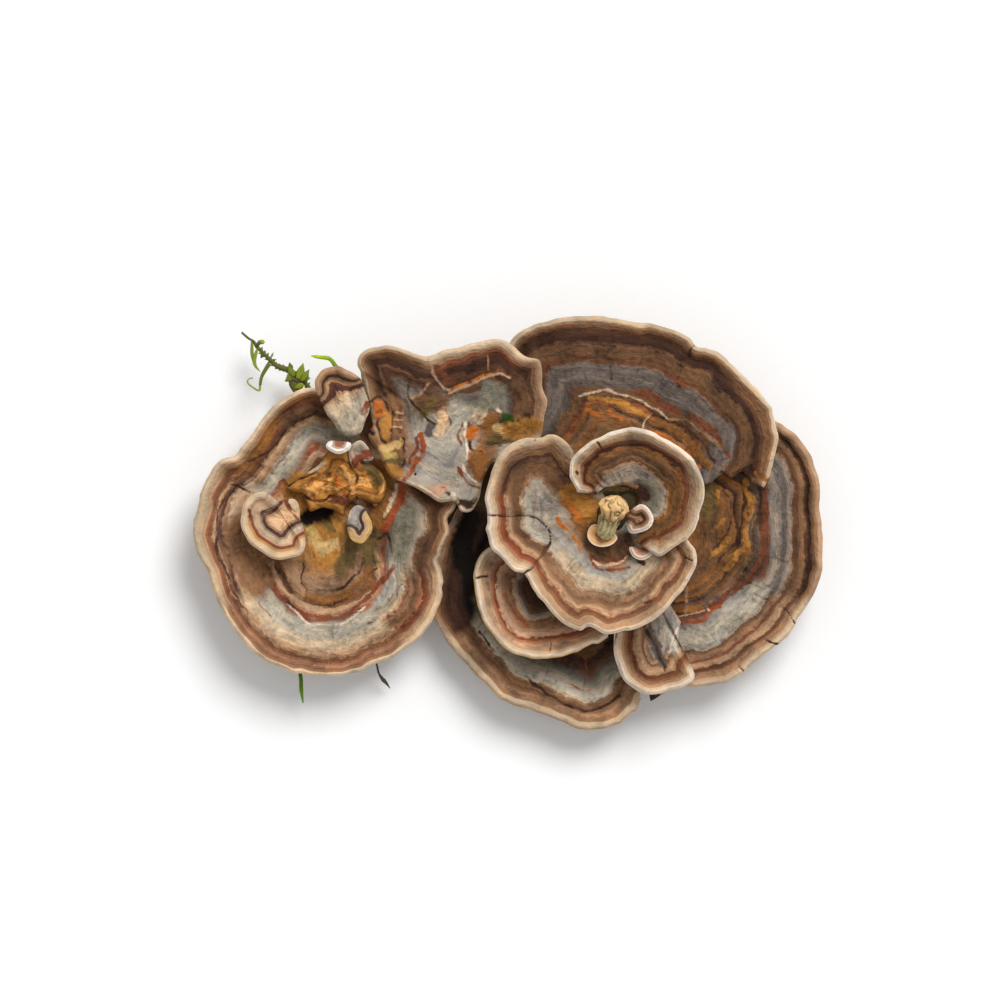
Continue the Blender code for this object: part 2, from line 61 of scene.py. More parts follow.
MM = 0.001  # one millimetre, in metres
PIXEL = 0.2  # millimetres of the fungus that one pixel of the photograph shows
PHOTO_ORIGIN = (509, 523)  # the pixel that shows the origin

cad_low, cad_high = (np.array(corner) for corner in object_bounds())
print("The CAD box, in millimetres:", (cad_low / MM).round(1), (cad_high / MM).round(1))


def from_photo(points):
    """Turns pixels of the photograph into places on the cluster, in millimetres."""
    points = np.array(points, float)
    return np.stack([points[:, 0] - PHOTO_ORIGIN[0], PHOTO_ORIGIN[1] - points[:, 1]], axis=1) * PIXEL


# %% [markdown]
# ## Chance that repeats
# Growth is uneven, so nearly every step below adds a little noise. It is worked out from the place
# alone, so each run gives the same fungus. Where a noise has a name, the name holds the size of its
# bumps in millimetres and its seed.

# %% Noise
CORNERS = [(0, 0, 0), (0, 0, 1), (0, 1, 0), (0, 1, 1), (1, 0, 0), (1, 0, 1), (1, 1, 0), (1, 1, 1)]
PLACE_PRIMES = (73856093, 19349663, 83492791)  # one for each axis, to scatter the cells of a grid
SEED_PRIME = 668265263
STIR_PRIME = 1274126177
CHANCES = 0xFFFF  # the bits of the scattered number that are kept


def noise(places, size, seed=0):
    """Smooth noise from 0 to 1 at an array of places, with bumps about size across."""
    scaled = np.asarray(places, float) / size
    corner = np.floor(scaled).astype(np.int64)
    part = scaled - corner
    part = part * part * (3 - 2 * part)
    total = np.zeros(scaled.shape[:-1])
    for step in CORNERS:
        cell = (corner + step) * PLACE_PRIMES
        mixed = cell[..., 0] ^ cell[..., 1] ^ cell[..., 2] ^ seed * SEED_PRIME
        mixed = (mixed ^ (mixed >> 13)) * STIR_PRIME
        value = ((mixed ^ (mixed >> 16)) & CHANCES) / CHANCES
        total += value * np.where(step, part, 1 - part).prod(axis=-1)
    return total


def smooth(low, high, value):
    """0 below low, 1 above high, and an S-shaped step between them."""
    share = np.clip((value - low) / (high - low), 0, 1)
    return share * share * (3 - 2 * share)


# %% [markdown]
# ## Curves and distances
# A rim is a smooth curve through a few points. The distance from a place to the rim decides which
# zone the place belongs to.

# %% Curves and distances
SPLINE_STEPS = 32


def smooth_curve(points, count, closed=False):
    """Evenly spaced points on a Catmull-Rom curve through the given ones."""
    points = np.array(points, float)
    if closed:
        ends = points[-1:], points[:2]
    else:
        ends = 2 * points[:1] - points[1:2], 2 * points[-1:] - points[-2:-1]
    guides = np.vstack([ends[0], points, ends[1]])
    step = np.linspace(0, 1, SPLINE_STEPS, endpoint=False)[:, None]
    spans = []
    for a, b, c, d in zip(guides, guides[1:], guides[2:], guides[3:]):
        square = (2 * a - 5 * b + 4 * c - d) * step**2
        cube = (3 * b - a - 3 * c + d) * step**3
        spans.append(0.5 * (2 * b + (c - a) * step + square + cube))
    dense = np.vstack([*spans, guides[-2:-1]])
    run = np.append(0, np.cumsum(np.linalg.norm(np.diff(dense, axis=0), axis=1)))
    places = np.linspace(0, run[-1], count)
    return np.stack([np.interp(places, run, dense[:, axis]) for axis in range(points.shape[1])], axis=1)


def distance_to(line, places, keep=slice(None)):
    """Distance in plan from each place to a line of points, or to the spans of it that are kept."""
    flat = places.reshape(-1, places.shape[-1])[:, :2]
    if len(line) == 1:
        return np.linalg.norm(flat - line[0, :2], axis=1).reshape(places.shape[:-1])
    start = line[:-1, :2][keep]
    run = np.diff(line[:, :2], axis=0)[keep]
    length = np.maximum((run**2).sum(axis=1), 1e-9)
    nearest = np.empty(len(flat))
    for first in range(0, len(flat), 2000):
        offset = flat[first : first + 2000, None] - start
        share = np.clip((offset * run).sum(axis=2) / length, 0, 1)
        gap = ((offset - share[..., None] * run) ** 2).sum(axis=2)
        nearest[first : first + 2000] = np.sqrt(gap.min(axis=1))
    return nearest.reshape(places.shape[:-1])


# %% [markdown]
# ## The palette
# All colours of the fungus, as they look in even light, and how far tissue of that colour stands up:
# pale zones are velvety ridges, dark ones are bare grooves.

# %% Palette
PALETTE = {
    "white": (250, 240, 228),
    "bone": (232, 210, 188),
    "cream": (218, 190, 158),
    "butter": (212, 172, 112),
    "sand": (202, 176, 144),
    "mist": (182, 170, 150),
    "ash": (162, 153, 144),
    "grey": (154, 138, 122),
    "sage": (124, 118, 100),
    "steel": (116, 103, 94),
    "slate": (96, 84, 76),
    "tan": (188, 148, 114),
    "pink": (192, 150, 126),
    "peach": (230, 188, 146),
    "clay": (158, 120, 90),
    "hazel": (136, 98, 68),
    "bark": (108, 76, 52),
    "russet": (112, 64, 42),
    "brown": (90, 60, 42),
    "umber": (66, 42, 31),
    "black": (24, 18, 15),
    "terracotta": (162, 102, 72),
    "rust": (128, 68, 44),
    "sienna": (152, 74, 40),
    "plum": (86, 56, 50),
    "olive": (112, 90, 52),
    "caramel": (138, 90, 46),
    "ochre": (178, 122, 58),
    "orange": (190, 106, 42),
    "amber": (228, 166, 96),
    "gold": (196, 164, 92),
    "moss": (40, 66, 18),
}
LIFTS = {
    "bone": 0.2,
    "cream": 0.16,
    "sand": 0.14,
    "tan": 0.12,
    "pink": 0.1,
    "mist": 0.1,
    "grey": 0.05,
    "clay": 0.04,
    "russet": -0.1,
    "rust": -0.1,
    "brown": -0.12,
    "plum": -0.15,
    "slate": -0.05,
    "umber": -0.25,
}
ALBEDO = 0.88  # of white, against a white sheet


def linear(name):
    """The shader's colour for a name of the palette."""
    shares = [level / 255 for level in PALETTE[name]]
    return [ALBEDO * ((share + 0.055) / 1.055) ** 2.4 for share in shares] + [1]


def read_chart(chart):
    """Turns "0 cream, 1.5 rust" into pairs of a distance from the rim, in millimetres, and a colour."""
    stops = [stop.split() for stop in chart.split(",")]
    return [(float(distance), colour) for distance, colour in stops]


# %% [markdown]
# ## Growing a cap
# A cap is a sheet between its rim and its root. The rows of points lie closest at the rim, where the
# eye looks. The upper face carries the relief: growth zones, pleats and wrinkles. The lower face is
# plainer, since its pores are far too fine for a mesh.

# %% The sheet of a cap
SINK = 0.25  # how far the sheet lies inside the solid, so its relief stays in the solid's box
UNDER_ROWS = 4  # the lower face has one row for so many of the upper one
EDGE = 0.55  # the radius that the edge is rounded with
RIM_SHARE = 0.5  # the rim's thickness, as a share of the cap's


def cap_rows(rim, root, step):
    """The points of the rim and of the root that belong together, and where each lies along the rim."""
    closed = isinstance(root, tuple)
    rough = smooth_curve(rim, 400, closed)
    length = np.linalg.norm(np.diff(rough, axis=0), axis=1).sum()
    count = int(length / step) + 1
    outer = smooth_curve(rim, count, closed)
    inner = np.tile(root, (count, 1)).astype(float) if closed else smooth_curve(root, count)
    along = np.linspace(0, length, count)
    if closed:
        turn = 2 * math.pi * along / length
        ring = np.stack([np.cos(turn), np.sin(turn)], axis=1) * length / (2 * math.pi)
        return outer[:-1], inner[:-1], ring[:-1]
    return outer, inner, np.stack([along, 0 * along], axis=1)


def cap_faces(rows, count, closed):
    """The faces of a cap's sheet, and the rows of the upper face that the lower one repeats."""
    upper = np.arange(rows * count).reshape(rows, count)
    kept = list(range(UNDER_ROWS, rows, UNDER_ROWS))
    lower = upper.size + np.arange(len(kept) * count).reshape(len(kept), count)
    under = np.vstack([upper[:1], lower])
    faces = []
    if closed:
        upper = np.hstack([upper, upper[:, :1]])
        under = np.hstack([under, under[:, :1]])
    for out, into in zip(upper, upper[1:]):
        faces += np.stack([out[:-1], into[:-1], into[1:], out[1:]], axis=1).tolist()
    for out, into in zip(under, under[1:]):
        faces += np.stack([out[:-1], out[1:], into[1:], into[:-1]], axis=1).tolist()
    if closed:
        top = rows * count + len(kept) * count
        faces += [[a, top, b] for a, b in zip(upper[-1], upper[-1][1:])]
        faces += [[a, b, top + 1] for a, b in zip(under[-1], under[-1][1:])]
        return faces, kept
    for number in range(len(kept)):
        first = UNDER_ROWS * number
        edge = list(range(first, first + UNDER_ROWS + 1))
        last = [under[number + 1]] if number == 0 else [under[number + 1], under[number]]
        faces.append([upper[row, -1] for row in edge] + [row[-1] for row in last])
        faces.append([upper[row, 0] for row in edge[::-1]] + [row[0] for row in last[::-1]])
    faces += np.stack([upper[-1][1:], upper[-1][:-1], under[-1][:-1], under[-1][1:]], axis=1).tolist()
    return faces, kept


def set_values(mesh, name, values):
    """Stores one number or one vector a point, for a shader to read."""
    kind = "FLOAT_VECTOR" if values.ndim == 2 else "FLOAT"
    layer = mesh.attributes.new(name, kind, "POINT")
    layer.data.foreach_set("vector" if values.ndim == 2 else "value", values.astype(np.float32).ravel())


def add_object(name, points, faces, node=None):
    """Makes a smooth object from points in millimetres, in place of a node of the frame."""
    mesh = bpy.data.meshes.new(name)
    inside = np.clip(np.asarray(points) * MM, cad_low, cad_high)
    mesh.from_pydata(inside.tolist(), [], faces)
    mesh.shade_smooth()
    thing = bpy.data.objects.new(name, mesh)
    bpy.context.scene.collection.objects.link(thing)
    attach(thing, "root")
    if node:
        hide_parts(node)
    return thing


# %% [markdown]
# The relief and the zones come from tables. A mark is a colour, a width in pixels of the photograph,
# a lift in millimetres and the pixels that it runs through: a crack, a streak, a fleck. A few marks are
# painted shade, and one is a painted highlight. A disc is the pixel of its middle and its radius in
# pixels. Discs say where zones are wider or narrower, where an edge is bare and where another chart
# takes over.

# %% Zones, marks and relief
ROLL = (0.42, 1.0, 0.8)  # the rolled margin: its height, its distance from the rim and its width
GROOVE = (-0.3, 2.9, 0.7)  # the groove behind it, in the same terms
SLOW_DRIFT = (8.0, 21)
QUICK_DRIFT = (2.6, 22)
MARK_BORDER = (0.6, 5)
MARK_WANDER = [(2.2, 6), (2.2, 7)]
MARK_STRENGTH = (1.7, 8)
RINGS = (0.7, 9)
FINE_BUMPS = (0.7, 2)
WIDE_BUMPS = (3.5, 3)
LUMP_SEED = 7


def zone_distance(places, rim_line, widen, bare, drift):
    """Distance from the rim, stretched where the photograph shows wider or narrower zones.

    Where a cap is bare, its edge is no growing margin, so its zones don't follow that edge. Noise
    makes the zones drift, slowly and in a quicker and smaller way, but not at the rim itself.
    """
    distance = distance_to(rim_line, places)
    growing = np.full(len(rim_line) - 1, True)
    for px, py, radius in bare:
        growing &= distance_to(from_photo([(px, py)]), rim_line[:-1]) > radius * PIXEL
    zone = distance_to(rim_line, places, growing) if bare else distance.copy()
    for px, py, radius, factor in widen:
        spot = from_photo([(px, py)])
        near = 1 - smooth(0.3, 1, distance_to(spot, places) / (radius * PIXEL))
        zone *= 1 + (factor - 1) * near
    plan = places * (1, 1, 0)
    zone = zone + drift * smooth(0.5, 4, distance) * 1.3 * (noise(plan, *SLOW_DRIFT) - 0.5)
    zone = zone + drift * smooth(0, 1, distance) * 0.5 * (noise(plan, *QUICK_DRIFT) - 0.5)
    return distance, np.maximum(zone, 0)


def disc_mask(places, discs):
    """1 inside soft discs, each given as the pixel of its middle and its radius in pixels."""
    mask = np.zeros(places.shape[:-1])
    for px, py, radius in discs:
        share = distance_to(from_photo([(px, py)]), places) / (radius * PIXEL)
        mask = np.maximum(mask, 1 - smooth(0.75, 1.15, share))
    return mask


def mark_masks(places, marks):
    """How strongly each colour of the marks covers each place, and how far the marks lift it."""
    masks = {}
    lift = np.zeros(places.shape[:-1])
    flat = np.concatenate([places[..., :2], 0 * places[..., :1]], axis=-1)
    ragged = noise(flat, *MARK_BORDER) - 0.5
    wander = np.stack([noise(flat, *layer) - 0.5 for layer in MARK_WANDER], axis=-1)
    strength = 0.45 + 0.75 * noise(flat, *MARK_STRENGTH)
    for colour, width, height, points in marks:
        half = width * PIXEL / 2
        line = from_photo(points)
        if len(line) > 2:
            line = smooth_curve(line, 6 * len(line))
        gap = distance_to(line, places[..., :2] + wander) + ragged * min(0.9 * half, 0.8)
        mask = np.clip(1.5 - gap / half, 0, 1) * np.clip(strength + 0.5 * (half > 0.8), 0, 1)
        masks[colour] = np.maximum(masks.get(colour, 0), mask)
        lift += height * mask
    return masks, lift


def swell(distance, height, middle, width):
    """A ridge, or with a height below 0 a groove, that runs along the rim."""
    return height * np.exp(-(((distance - middle) / width) ** 2))


def cap_relief(places, distance, zone, pleats, chart, wrinkle, lumps):
    """The height of the upper face over a smooth sheet."""
    stops = read_chart(chart)
    tops = np.interp(zone, [at for at, _ in stops], [LIFTS.get(colour, 0) for _, colour in stops])
    bead = swell(distance, *ROLL) + swell(distance, *GROOVE)
    across = np.concatenate([0.12 * places[..., :2], zone[..., None]], axis=2)
    rings = 0.16 * (1 - 0.7 * smooth(4, 8, distance)) * (noise(across, *RINGS) - 0.5)
    plan = places * (1, 1, 0)
    fine = wrinkle * (noise(plan, *FINE_BUMPS) - 0.5)
    wide = 0.35 * (noise(plan, *WIDE_BUMPS) - 0.5)
    relief = tops + bead + 0.45 * pleats + rings + fine + wide
    for size, height, start in lumps:
        bumps = noise(plan, size, LUMP_SEED) - 0.4
        relief += height * bumps * smooth(start, start + 1.5, distance)
    return relief * smooth(0, 0.5, distance)


# %% [markdown]
# Now the sheet is laid out between the root and the rim, and gets its two faces. Its rim is nicked, an
# end can be rough, and a torn side can be bitten back.

# %% The two faces
BITE_FADE = 6  # millimetres from a torn side over which its bites grow shallow
TUCK_SLOPE = -0.5  # how steeply a tucked root dives, against how far it goes inwards
WAVE_DEPTH = 0.35  # of the slow waves of the sheet
WAVES = (9.0, 31)
NICKS = (2.0, 11)
NOTCHES = (4.5, 12)
ROUGH_END = (1.5, 13)


def way_to_rim(outer, ring, across, rows, closed, nicks, rough_ends):
    """The share of the way from the root to the rim at each point, less the nicks of the rim."""
    way = (1 - (np.arange(rows + (not closed)) / rows) ** 1.3)[:, None]
    flat_ring = np.concatenate([ring, 0 * ring[:, :1]], axis=1)
    nick = nicks * (0.7 * noise(flat_ring, *NICKS) + smooth(0.5, 0.85, noise(flat_ring, *NOTCHES)))
    for px, py, radius, depth in rough_ends:
        spot = distance_to(from_photo([(px, py)]), outer) / (radius * PIXEL)
        nick = nick + (1 - smooth(0.6, 1.1, spot)) * depth * noise(flat_ring, *ROUGH_END)
    return np.maximum(way - nick / across * way**8, 0)[..., None]


def lay_sheet(outer, inner, across, way, step, bowl, tuck, bites):
    """The sheet as a bowl, bitten back at its last side and tucked in at its root."""
    places = inner + (outer - inner) * way
    places[..., 2] = (inner[:, 2:] + (outer - inner)[:, 2:] * way**bowl)[..., 0]
    if bites:
        outward = (outer - inner) / across[:, None]
        side = np.cross(outward, (0, 0, 1))
        depth = np.interp(way[..., 0], *zip(*sorted(bites)))
        fade = np.clip(1 - (len(outer) - 1 - np.arange(len(outer))) * step / BITE_FADE, 0, 1)
        places -= side * (depth * fade)[..., None]
    pull = (inner - outer) / across[:, None]
    pull[:, 2] = TUCK_SLOPE
    return places + tuck * pull * (1 - way) ** 4


def two_faces(places, way, edge, grain, relief, thickness, neck):
    """The upper face with its relief, and the lower one with a neck down to its foot."""
    thin = thickness * (RIM_SHARE + (1 - RIM_SHARE) * (1 - way[..., 0] ** 2))
    rounding = 1 - np.sqrt(1 - np.clip(1 - edge / EDGE, 0, 1) ** 2)
    waves = WAVE_DEPTH * way[..., 0] ** 2 * noise(grain * (1, 1, 0.3), *WAVES)
    base = places[..., 2] - SINK - waves
    upper = places.copy()
    upper[..., 2] = base + relief * smooth(0, 0.3, edge) - 0.5 * thin * rounding
    lower = places.copy()
    lower[..., 2] = base - thin
    if neck:
        axis_x, axis_y, radius, foot = neck
        gap = np.hypot(places[..., 0] - axis_x, places[..., 1] - axis_y) / radius
        lower[..., 2] -= np.maximum(lower[..., 2] - foot, 0) * np.exp(-(gap**4))
    return upper, lower


# %% [markdown]
# Last comes the cap itself. It replaces its node of the frame, and it keeps its zones, its grain and
# its marks as values on its points, so that its material can read them.

# %% Grow one cap
PLEATS = (2.2, 1)
TICKS = (0.7, 51)


def grow_cap(name, rim, root, chart, slot="zoned_cap", thickness=1.9, bowl=1.5, step=0.3, nicks=0.4,
             tuck=0.0, neck=None, wrinkle=0.08, lumps=(), widen=(), bare=(), sides=(), marks=(),
             bites=None, rough_ends=(), drift=1.0, **finish):
    """Grows one cap, a ring if its root is a single place and else a fan, and gives it its skin."""
    closed = isinstance(root, tuple)
    outer, inner, ring = cap_rows(rim, root, step)
    across = np.linalg.norm(outer[:, :2] - inner[:, :2], axis=1)
    rows = UNDER_ROWS * max(3, round(np.percentile(across, 75) / step / UNDER_ROWS))
    way = way_to_rim(outer, ring, across, rows, closed, nicks, rough_ends)
    places = lay_sheet(outer, inner, across, way, step, bowl, tuck, bites)
    rim_line = np.vstack([places[0], places[0, :1]]) if closed else places[0]
    distance, zone = zone_distance(places, rim_line, widen, bare, drift)
    edge = distance
    if not closed:
        for end in (places[:, 0], places[:, -1]):
            edge = np.minimum(edge, distance_to(end, places))
    grain = np.concatenate([np.broadcast_to(ring, (*distance.shape, 2)), distance[..., None]], axis=2)
    masks, mark_lift = mark_masks(places, marks)
    pleats = (noise(grain * (1, 1, 0.12), *PLEATS) - 0.5) * (1 - smooth(2.5, 8, distance))
    ticks = smooth(0.74, 0.86, noise(grain * (1, 1, 0.3), *TICKS)) * smooth(5, 8, distance) * way[..., 0]
    relief = cap_relief(places, distance, zone, pleats, chart, wrinkle, lumps) + mark_lift
    upper, lower = two_faces(places, way, edge, grain, relief, thickness, neck)
    faces, kept = cap_faces(len(upper), len(outer), closed)
    points = [upper.reshape(-1, 3), lower[kept].reshape(-1, 3)]
    if closed:
        middle = np.array([[*root[:2], upper[-1, :, 2].mean()], [*root[:2], lower[kept[-1], :, 2].mean()]])
        points.append(middle)

    def spread(values, under_value=None):
        """Values of the upper face, carried on to the lower one and the middle."""
        below = values[kept] if under_value is None else np.full_like(values[kept], under_value)
        parts = [values.reshape(-1, *values.shape[2:]), below.reshape(-1, *values.shape[2:])]
        if closed:
            parts.append(np.stack([values[-1].mean(axis=0), below[-1].mean(axis=0)]))
        return np.concatenate(parts)

    body = add_object(f"{name}_fine", np.concatenate(points), faces, name)
    set_values(body.data, "zone", spread(zone))
    set_values(body.data, "grain", spread(np.concatenate([places[..., :2], distance[..., None]], axis=2)))
    # The shade value paints light and shade on the pleats near the rim, and darkens short ticks, which are
    # fine cracks in the skin.
    set_values(body.data, "shade", spread(1 + 0.35 * pleats - 0.4 * ticks))
    for number, (_, discs) in enumerate(sides):
        set_values(body.data, f"side_{number}", spread(disc_mask(places, discs)))
    set_values(body.data, "under", spread(0 * distance, 1.0))
    for colour, mask in masks.items():
        set_values(body.data, f"paint_{colour}", spread(mask, 0.0))
    charts = [chart, *[side_chart for side_chart, _ in sides]]
    body.data.materials.append(cap_finish(f"{name}_skin", charts, list(masks), **finish))
    print(f"{name}: {len(faces)} faces")


# %% [markdown]
# ## The skin of a cap
# Every cap's material is made in the same way. It looks up the zone in a colour ramp, and a grain
# makes the borders of the zones ragged and their colours uneven. The repeated steps are shared
# groups of nodes.

# %% Node helpers
def make(tree, kind, links=(), **settings):
    """Adds a node, sets it up, and links or fills its inputs."""
    node = tree.nodes.new(f"ShaderNode{kind}")
    for key, value in settings.items():
        setattr(node, key, value)
    for socket, source in links:
        if isinstance(source, bpy.types.NodeSocket):
            tree.links.new(source, node.inputs[socket])
        else:
            node.inputs[socket].default_value = source
    return node


def new_material(name):
    """A new material, with its tree of nodes and its shader."""
    material = bpy.data.materials.new(name)
    material.use_nodes = True
    return material, material.node_tree, material.node_tree.nodes["Principled BSDF"]


def math_node(tree, operation, first, second=0.0):
    """One step of arithmetic."""
    return make(tree, "Math", [(0, first), (1, second)], operation=operation).outputs[0]


def mixed(tree, share, first, second, blend="MIX"):
    """Mixes two colours."""
    links = [(0, share), (6, first), (7, second)]
    return make(tree, "Mix", links, data_type="RGBA", blend_type=blend).outputs[2]


def step_node(tree, value, low, high):
    """0 below low, 1 above high, and a soft step between them."""
    links = [("Value", value), ("From Min", low), ("From Max", high)]
    return make(tree, "MapRange", links, interpolation_type="SMOOTHSTEP").outputs[0]


def new_group(name, inputs, outputs):
    """An empty group of nodes, with its sockets."""
    group = bpy.data.node_groups.new(name, "ShaderNodeTree")
    for title, kind in inputs:
        group.interface.new_socket(title, in_out="INPUT", socket_type=f"NodeSocket{kind}")
    for title, kind in outputs:
        group.interface.new_socket(title, in_out="OUTPUT", socket_type=f"NodeSocket{kind}")
    start = group.nodes.new("NodeGroupInput")
    end = group.nodes.new("NodeGroupOutput")
    return group, start.outputs, end.inputs


def use_group(tree, group, links):
    """Puts a shared group into a material."""
    return make(tree, "Group", links, node_tree=group)


def attribute(tree, name, output="Fac"):
    """Reads a value that the mesh keeps on its points."""
    return make(tree, "Attribute", attribute_name=name).outputs[output]


def fill_ramp(node, stops):
    """Gives a colour ramp its stops, as pairs of a position and a colour."""
    elements = node.color_ramp.elements
    while len(elements) < len(stops):
        elements.new(1.0)
    for element, (position, colour) in zip(elements, stops):
        element.position = position
        element.color = colour


# %% [markdown]
# The first group makes the grain. Its fine and its broad noise are stretched along the rim, as thin
# rings of growth are. The mottling, the blocks of tissue with sharp borders and the wide blotches are
# rounder.

# %% Grain and zones
GRAIN = ["Fine", "Mottle", "Block", "Broad", "Blotch"]
GRAIN_SCALES = {"Fine": (0.6, 0.6, 3.0), "Mottle": (1.0, 1.0, 0.6), "Broad": (0.2, 0.2, 1.1),
                "Blotch": (0.16, 0.16, 0.1)}
GRAIN_DETAIL = {"Fine": 0.5, "Mottle": 1.6, "Broad": 0.8, "Blotch": 2.0}
BLOCK_SCALE = (0.5, 0.5, 0.9)
BLOCK_BEND = (3, 3, 3)  # how far the mottling bends the borders of the blocks
PORES_PER_METRE = 4000.0


def make_grain_group():
    """The parts of the grain, each from 0 to 1, out of one place on the cap."""
    outputs = [(title, "Float") for title in GRAIN]
    group, given, result = new_group("grain", [("Grain", "Vector")], outputs)
    for title, scale in GRAIN_SCALES.items():
        places = make(group, "VectorMath", [(0, given["Grain"]), (1, scale)], operation="MULTIPLY")
        links = [("Vector", places.outputs[0]), ("Scale", 1.0), ("Detail", GRAIN_DETAIL[title])]
        waves = make(group, "TexNoise", links)
        group.links.new(waves.outputs["Fac"], result[title])
        if title == "Mottle":
            bend = waves.outputs["Color"]
    links = [(0, bend), (1, BLOCK_BEND), (2, given["Grain"])]
    bent = make(group, "VectorMath", links, operation="MULTIPLY_ADD")
    places = make(group, "VectorMath", [(0, bent.outputs[0]), (1, BLOCK_SCALE)], operation="MULTIPLY")
    cells = make(group, "TexVoronoi", [("Vector", places.outputs[0]), ("Scale", 1.0)], feature="F1")
    chance = make(group, "SeparateColor", [("Color", cells.outputs["Color"])])
    group.links.new(chance.outputs[0], result["Block"])
    return group


def weighted(group, given, weights):
    """The sum of the parts of the grain, each times its weight and 0 on average."""
    total = 0.0
    for title, weight in zip(GRAIN, weights):
        part = math_node(group, "MULTIPLY", math_node(group, "SUBTRACT", given[title], 0.5), weight)
        total = math_node(group, "ADD", part, total)
    return total


SPAN = 32.0  # millimetres from the rim that a colour ramp covers
RING = 0.6  # millimetres that one ring of growth is wide


def make_position_group():
    """Where a place stands in its chart: its zone, with a ragged border, in rings with clear edges."""
    inputs = [(title, "Float") for title in (*GRAIN, "Zone", "Ragged")]
    group, given, result = new_group("growth_position", inputs, [("Position", "Float")])
    shift = math_node(group, "MULTIPLY", weighted(group, given, (0.2, 0.7, 0.3, 0.5, 1.6)), given["Ragged"])
    shift = math_node(group, "MULTIPLY", shift, step_node(group, given["Zone"], 0.0, 4.0))
    total = math_node(group, "DIVIDE", math_node(group, "ADD", given["Zone"], shift), RING)
    part = math_node(group, "FRACT", total)
    edge = math_node(group, "SUBTRACT", step_node(group, part, 0.3, 0.7), part)
    ring = math_node(group, "ADD", total, math_node(group, "MULTIPLY", edge, 0.9))
    group.links.new(math_node(group, "MULTIPLY", ring, RING / SPAN), result["Position"])
    return group


def make_value_group():
    """How much brighter or darker a place is than the colour of its zone, with thin dark lines.

    The growing margin is smooth, so it varies little.
    """
    inputs = [(title, "Float") for title in (*GRAIN, "Zone", "Shade", "Contrast")]
    group, given, result = new_group("value", inputs, [("Value", "Float")])
    total = weighted(group, given, (0.3, 0.8, 0.3, 0.7, 1.3))
    away = math_node(group, "ABSOLUTE", math_node(group, "SUBTRACT", given["Blotch"], 0.5))
    line = math_node(group, "SUBTRACT", 1.0, step_node(group, away, 0.003, 0.012))
    line = math_node(group, "MULTIPLY", line, step_node(group, given["Mottle"], 0.45, 0.6))
    total = math_node(group, "SUBTRACT", total, math_node(group, "MULTIPLY", line, 0.25))
    inland = math_node(group, "ADD", step_node(group, given["Zone"], 1.0, 2.6), 0.5)
    total = math_node(group, "MULTIPLY", math_node(group, "MULTIPLY", total, inland), 0.67)
    value = math_node(group, "ADD", math_node(group, "MULTIPLY", total, given["Contrast"]), given["Shade"])
    group.links.new(math_node(group, "MAXIMUM", value, 0.25), result["Value"])
    return group


def make_pore_group():
    """The lower face: a skin of round pores, four to a millimetre."""
    outputs = [("Color", "Color"), ("Height", "Float")]
    group, given, result = new_group("pores", [("Place", "Vector")], outputs)
    links = [("Vector", given["Place"]), ("Scale", PORES_PER_METRE)]
    cells = make(group, "TexVoronoi", links, feature="F1")
    rim = step_node(group, cells.outputs["Distance"], 0.25, 0.5)
    color = mixed(group, rim, linear("brown"), linear("cream"))
    group.links.new(color, result["Color"])
    group.links.new(rim, result["Height"])
    return group


GRAIN_GROUP = make_grain_group()
POSITION = make_position_group()
VALUE = make_value_group()
PORES = make_pore_group()


# %% [markdown]
# The material reads the zone, the grain and the marks from the mesh. Roughness and bump follow the
# same grain, so the light breaks on it as it does on velvet.

# %% The material of a cap
COOL = (0.97, 1.0, 1.04, 1)
WARM = (1.04, 1.0, 0.94, 1)
BUMP_HEIGHT = 0.0006  # metres
SHEEN = 0.12  # the skin is velvety, so it mirrors little


